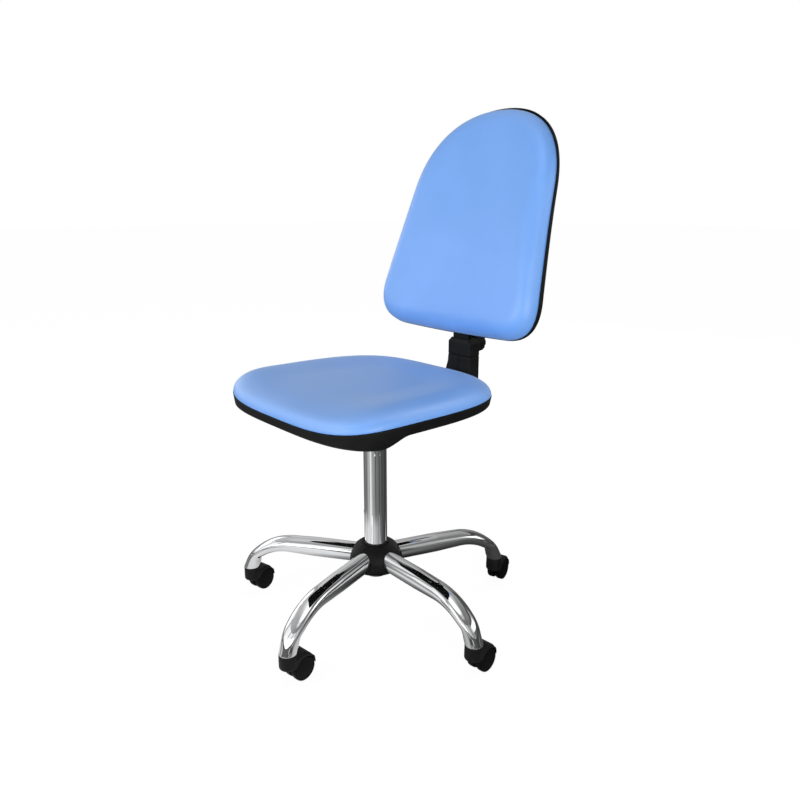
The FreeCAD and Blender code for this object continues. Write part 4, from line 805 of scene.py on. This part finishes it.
def plywood():
    """Beech plywood: stretched noise for the grain, between two browns."""
    material, tree, shader = finish("beech_plywood", {"Roughness": 0.6})
    where, way = node(tree, "TexCoord"), node(tree, "Mapping", {"Scale": (4.0, 60.0, 200.0)})
    grain = node(tree, "TexNoise", {"Scale": 3.0, "Detail": 5.0, "Distortion": 0.6})
    tones(tree, shader, grain, "Fac", (0.42, 0.27, 0.13), (0.66, 0.48, 0.29))
    join(tree, (where, "Object", way, "Vector"), (way, 0, grain, "Vector"))
    relief(tree, shader, grain, "Fac", strength=0.2, distance=0.0003)
    return material


# Moulded finishes: name, greys, range of the roughness, scale and strength of the stipple
# Plated finishes: name, dark and light tone, range of the roughness, depth of the scratches
FINISHES = {
    "blue_upholstery": blue_vinyl(),
    "black_plastic": moulded("moulded_black", (0.006, 0.008), (0.42, 0.55), 1500.0, 0.12),
    "wheel_nylon": moulded("wheel_nylon", (0.002, 0.003), (0.42, 0.54), 900.0, 0.08, shine=0.07),
    "black_steel": moulded("black_paint", (0.005, 0.007), (0.3, 0.42), 500.0, 0.12),
    "black_rubber": moulded("black_rubber", (0.008, 0.012), (0.7, 0.85), 700.0, 0.2),
    "white_acetal": moulded("white_acetal", (0.70, 0.76), (0.35, 0.45), 900.0, 0.06),
    "chrome": plated("polished_chrome", (0.75, 0.755, 0.765), (0.80, 0.805, 0.815), (0.012, 0.03), 0.03),
    "bright_steel": plated("turned_steel", (0.50, 0.50, 0.51), (0.60, 0.60, 0.62), (0.18, 0.28), 0.10),
    "plywood": plywood(),
}

# Pieces

def place(name, rings, body, slot, *nodes, crease=None):
    """Piece made of rings that rides on a body and stands for CAD nodes. Edges stay sharp where faces meet
    at more than the crease, an angle in degrees."""
    mesh = ring_mesh(name, rings)
    if crease:
        mesh.set_sharp_from_angle(angle=math.radians(crease))
    mesh.materials.append(FINISHES[slot])
    piece = add(name, mesh)
    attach(piece, body)
    if nodes:
        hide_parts(*nodes)
    return piece


seat = place("seat_cover", seat_cover(), "seat", "blue_upholstery", "seat_cushion")
back = place("back_cover", back_cover(), "backrest", "blue_upholstery", "back_cushion")
place("seat_pan_moulding", seat_pan(), "seat", "black_plastic", "seat_pan")
place("back_shell_moulding", back_shell(), "backrest", "black_plastic", "back_shell")
place("post_cover_moulding", post_cover(), "back_post", "black_plastic", "post_cover", crease=POST_CREASE)
place("clamp_block_moulding", clamp_block(), "backrest", "black_plastic", "clamp_block", crease=POST_CREASE)
place("clamp_knob_grip", knob(), "clamp_knob", "black_plastic", "clamp_knob")
place("column_chrome", column(), "base", "chrome", "column_tube")
for k in range(LEGS):
    caster = f"caster_{k + 1}"
    place(f"leg_tube_{k + 1}", leg_tube(k), "base", "chrome", f"leg_{k + 1}")
    place(f"{caster}_collar", collar(k), caster, "black_plastic", crease=COLLAR_CREASE)
    for label, side in (("left", 1), ("right", -1)):
        body = next(j["child"] for j in frame["joints"] if j["name"] == f"{caster}_{label}_spin")
        place(f"{caster}_{label}_tyre", wheel(k, side), body, "wheel_nylon", f"{caster}_wheel_{label}")

for part in frame["record"]["subparts"]:
    solid = frame["nodes"][part["node"]].data
    solid.materials.clear()
    solid.materials.append(FINISHES[part["material_slot"]])

# Floor

FLOOR_HALF, FLOOR_Z = 30.0, -0.0005  # metres
FLOOR_GLOW, FLOOR_GLOW_SHARE = 1.05, 0.9


def floor_finish():
    """White floor that camera and mirror rays see as white, and that keeps a faint shadow."""
    material, tree, shader = finish("white_floor", {
        "Base Color": (0.9, 0.9, 0.9, 1.0), "Roughness": 0.9, "Specular IOR Level": 0.0})
    glow = node(tree, "Emission", {"Strength": FLOOR_GLOW})
    path = node(tree, "LightPath")
    seen = node(tree, "Math", operation="MAXIMUM")
    share = node(tree, "Math", {1: FLOOR_GLOW_SHARE}, operation="MULTIPLY")
    mix, out = node(tree, "MixShader"), tree.nodes["Material Output"]
    join(tree, (path, "Is Camera Ray", seen, 0), (path, "Is Glossy Ray", seen, 1), (seen, 0, share, 0),
         (share, 0, mix, 0), (shader, 0, mix, 1), (glow, 0, mix, 2), (mix, 0, out, "Surface"))
    material.cycles.emission_sampling = "NONE"
    return material


def stage_piece(name, mesh, material):
    """Puts a mesh into the scene as staging."""
    mesh.materials.append(material)
    made = add(name, mesh)
    return made


corners = ((-1, -1), (1, -1), (1, 1), (-1, 1))
ground = bpy.data.meshes.new("floor")
ground.from_pydata([(x * FLOOR_HALF, y * FLOOR_HALF, FLOOR_Z) for x, y in corners], [], [(0, 1, 2, 3)])
stage_piece("floor", ground, floor_finish())

# Room that the chrome mirrors, in millimetres

ROOM_R, ROOM_Z, ROOM_FLOOR = 3400.0, 3000.0, 0.2
SKIRTING_TOP, DADO_TOP = 170.0, 560.0
BRIGHT_HEADING, FAR_HEADING, FAR_WIDTH = -100.0, 150.0, 40.0
# Soft lights on the wall: heading, width and power of a bell curve, heights of both fades, strength
WALL_LIGHTS = (
    (-172.0, 22.0, 4, (700.0, 1000.0), (2000.0, 2400.0), 1.5),
    (40.0, 20.0, 2, (1100.0, 1400.0), (2200.0, 2500.0), 2.2),
    (-72.0, 32.0, 4, (0.0, 1.0), (1300.0, 1900.0), 1.2),
)


def lit(turn, heading, width, power=2):
    """Bell curve of the angle from a heading. The heading and the width are in degrees."""
    return bell((np.degrees(turn) - heading + 180.0) % 360.0 - 180.0, width, power)


def bright_side(turn):
    """1 at the bright heading and 0 across from it, by half a cosine."""
    return 0.5 + 0.5 * np.cos(turn - math.radians(BRIGHT_HEADING))


def folds(turn):
    """Dark folds round the room: the crests of a sum of two cosines of the heading."""
    return smooth(0.2, 0.7, 0.6 * np.cos(11.0 * turn + 0.5) + 0.4 * np.cos(29.0 * turn))


def floor_tone(r, turn):
    """Near the chair the floor follows the bright side alone. Further out it is dim, with a bell curve of
    light in front and with folds. It darkens by a smooth step under the hub: painted shade of the chair."""
    side = bright_side(turn)
    outside = 0.07 + 0.22 * side + 0.72 * lit(turn, -86.0, 24.0)
    inside = 0.05 + 0.85 * side ** 1.5
    tone = outside + (inside - outside) * (1.0 - smooth(430.0, 560.0, r))
    # The last factor is painted shade: the chair's shadow on the floor under the hub.
    return tone * (1.0 - 0.7 * folds(turn) * smooth(350.0, 700.0, r)) * (0.3 + 0.7 * smooth(80.0, 260.0, r))


def wall_tone(z, turn):
    """Three bands: a skirting and a tall upper wall follow the bright side between folds, with a dim dado
    between them. A bell curve lights the far side, and soft lights stand on the upper wall."""
    side, far, dark = bright_side(turn), lit(turn, FAR_HEADING, FAR_WIDTH), folds(turn)
    skirting = (0.2 + 0.8 * side) * (1.0 - 0.8 * dark)
    dado = 0.04 + 0.1 * side + 0.4 * far
    upper = (0.06 + 1.15 * side ** 1.2 + 0.3 * far) * (1.0 - 0.65 * dark)
    for heading, width, power, fade_in, fade_out, strength in WALL_LIGHTS:
        spread = lit(turn, heading, width, power) * smooth(*fade_in, z) * (1.0 - smooth(*fade_out, z))
        upper = upper + strength * spread
    return np.where(z < SKIRTING_TOP, skirting, np.where(z < DADO_TOP, dado, upper))


def ceiling_tone(r, turn):
    """Ceiling that grows paler to one side by half a cosine and to its middle by a smooth step, with a soft
    light: a flat-topped bell curve of the distance times one of the heading."""
    light = bell(r - 1100.0, 900.0, 4) * lit(turn, -30.0, 50.0, 4)
    return 0.2 + 0.4 * (0.5 - 0.5 * np.cos(turn)) + 0.6 * (1.0 - smooth(300.0, 2000.0, r)) + 1.6 * light


def room_finish():
    """Glow by the tone that each point of the room carries."""
    material, tree = finish("room_tone", {})[:2]
    tree.nodes.clear()
    tone = node(tree, "Attribute", attribute_name="tone")
    glow, out = node(tree, "Emission"), node(tree, "OutputMaterial")
    join(tree, (tone, "Fac", glow, "Strength"), (glow, 0, out, "Surface"))
    material.cycles.emission_sampling = "NONE"
    return material


def reflected_room():
    """Room that only mirror rays see: rings run from the chair out over the floor, up the wall and over the
    ceiling, and each point carries its tone."""
    turn = turns(360)
    floor_r = np.concatenate([np.linspace(60.0, 700.0, 33), np.linspace(800.0, ROOM_R, 10)])[:, None]
    wall_z = np.linspace(40.0, ROOM_Z - 20.0, 100)[:, None]
    roof_r = np.linspace(ROOM_R - 60.0, 100.0, 60)[:, None]
    r = np.concatenate([floor_r, np.full_like(wall_z, ROOM_R), roof_r])
    z = np.concatenate([np.full_like(floor_r, ROOM_FLOOR), wall_z, np.full_like(roof_r, ROOM_Z)])
    tone = np.concatenate([floor_tone(floor_r, turn), wall_tone(wall_z, turn), ceiling_tone(roof_r, turn)])
    ends = [tone[0].mean(), tone[-1].mean()]
    mesh = ring_mesh("room", stack(r * np.cos(turn), r * np.sin(turn), z))
    values = np.concatenate([tone.ravel(), ends]).astype(np.float32)
    mesh.attributes.new("tone", "FLOAT", "POINT").data.foreach_set("value", values)
    room = stage_piece("room", mesh, room_finish())
    room.visible_camera = room.visible_diffuse = room.visible_shadow = False
    room.visible_transmission = room.visible_volume_scatter = False


reflected_room()

# Light

WALL_LIGHT, ROOF_LIGHT = 0.9, 0.3
LAMP_R, LAMP_Z, LAMP_SIZE, LAMP_AIM = 3.9, 1.2, 2.4, (0.0, 0.0, 0.6)
LAMPS = (("key", -105.0, 50.0), ("fill", -20.0, 58.0), ("rear", 100.0, 40.0))  # name, heading, watts
SHINE_AIM = (0.0, -0.1, 0.54)


def studio_world():
    """World that camera, mirror and glass rays see as white, and that lights softly, less from above."""
    world = bpy.data.worlds.new("studio")
    world.use_nodes = True
    bpy.context.scene.world = world
    tree = world.node_tree
    tree.nodes.clear()
    path, where = node(tree, "LightPath"), node(tree, "TexCoord")
    first, second = node(tree, "Math", operation="MAXIMUM"), node(tree, "Math", operation="MAXIMUM")
    white = node(tree, "Background", {"Color": (1.0, 1.0, 1.0, 1.0), "Strength": 1.0})
    soft = node(tree, "Background", {"Color": (1.0, 1.0, 1.0, 1.0)})
    height = node(tree, "SeparateXYZ")
    level = node(tree, "MapRange", {"To Min": WALL_LIGHT, "To Max": ROOF_LIGHT})
    mix, out = node(tree, "MixShader"), node(tree, "OutputWorld")
    join(tree, (where, "Generated", height, 0), (height, "Z", level, "Value"),
         (level, "Result", soft, "Strength"), (path, "Is Camera Ray", first, 0),
         (path, "Is Glossy Ray", first, 1), (first, 0, second, 0),
         (path, "Is Transmission Ray", second, 1), (second, 0, mix, 0), (soft, 0, mix, 1),
         (white, 0, mix, 2), (mix, 0, out, "Surface"))


def lamp(name, at, towards, size, power):
    """Disk lamp turned to face a point."""
    light = bpy.data.lights.new(name, "AREA")
    light.shape, light.size, light.energy = "DISK", size, power
    made = add(name, light)
    made.location = at
    x, y, z = np.array(towards) - np.array(at)
    made.rotation_euler = (math.atan2(math.hypot(x, y), -z), 0.0, math.atan2(y, x) - math.pi / 2)
    return made


def shine_lamp(name, at, towards, size, power, piece):
    """Disk lamp that only the shine of one piece sees: diffuse light and the other pieces leave it out."""
    made = lamp(name, at, towards, size, power)
    made.visible_diffuse = False
    seen_on = bpy.data.collections.new(name)
    seen_on.objects.link(piece)
    made.light_linking.receiver_collection = seen_on


studio_world()
for label, heading, power in LAMPS:
    way = math.radians(heading)
    lamp(label, (LAMP_R * math.cos(way), LAMP_R * math.sin(way), LAMP_Z), LAMP_AIM, LAMP_SIZE, power)
shine_lamp("front_roll_shine", (-0.73, -1.53, 3.0), SHINE_AIM, 3.6, 68.0, seat)
shine_lamp("right_roll_shine", (0.85, 2.0, 3.0), SHINE_AIM, 2.4, 32.0, seat)

# Camera

CAMERA_AT, CAMERA_DOWN, CAMERA_TURN = (1.07129, -0.89067, 0.88624), 15.76, 48.06
FOCAL_PX, PICTURE_PX, SENSOR_MM = 690.93, 800.0, 36.0
camera = add("camera", bpy.data.cameras.new("camera"))
camera.location = CAMERA_AT
camera.rotation_euler = (math.radians(90.0 - CAMERA_DOWN), 0.0, math.radians(CAMERA_TURN))
camera.data.lens, camera.data.sensor_width = SENSOR_MM * FOCAL_PX / PICTURE_PX, SENSOR_MM
camera.data.clip_start, camera.data.clip_end = 0.01, 200.0
bpy.context.scene.camera = camera
bpy.context.scene.view_settings.view_transform = "Standard"
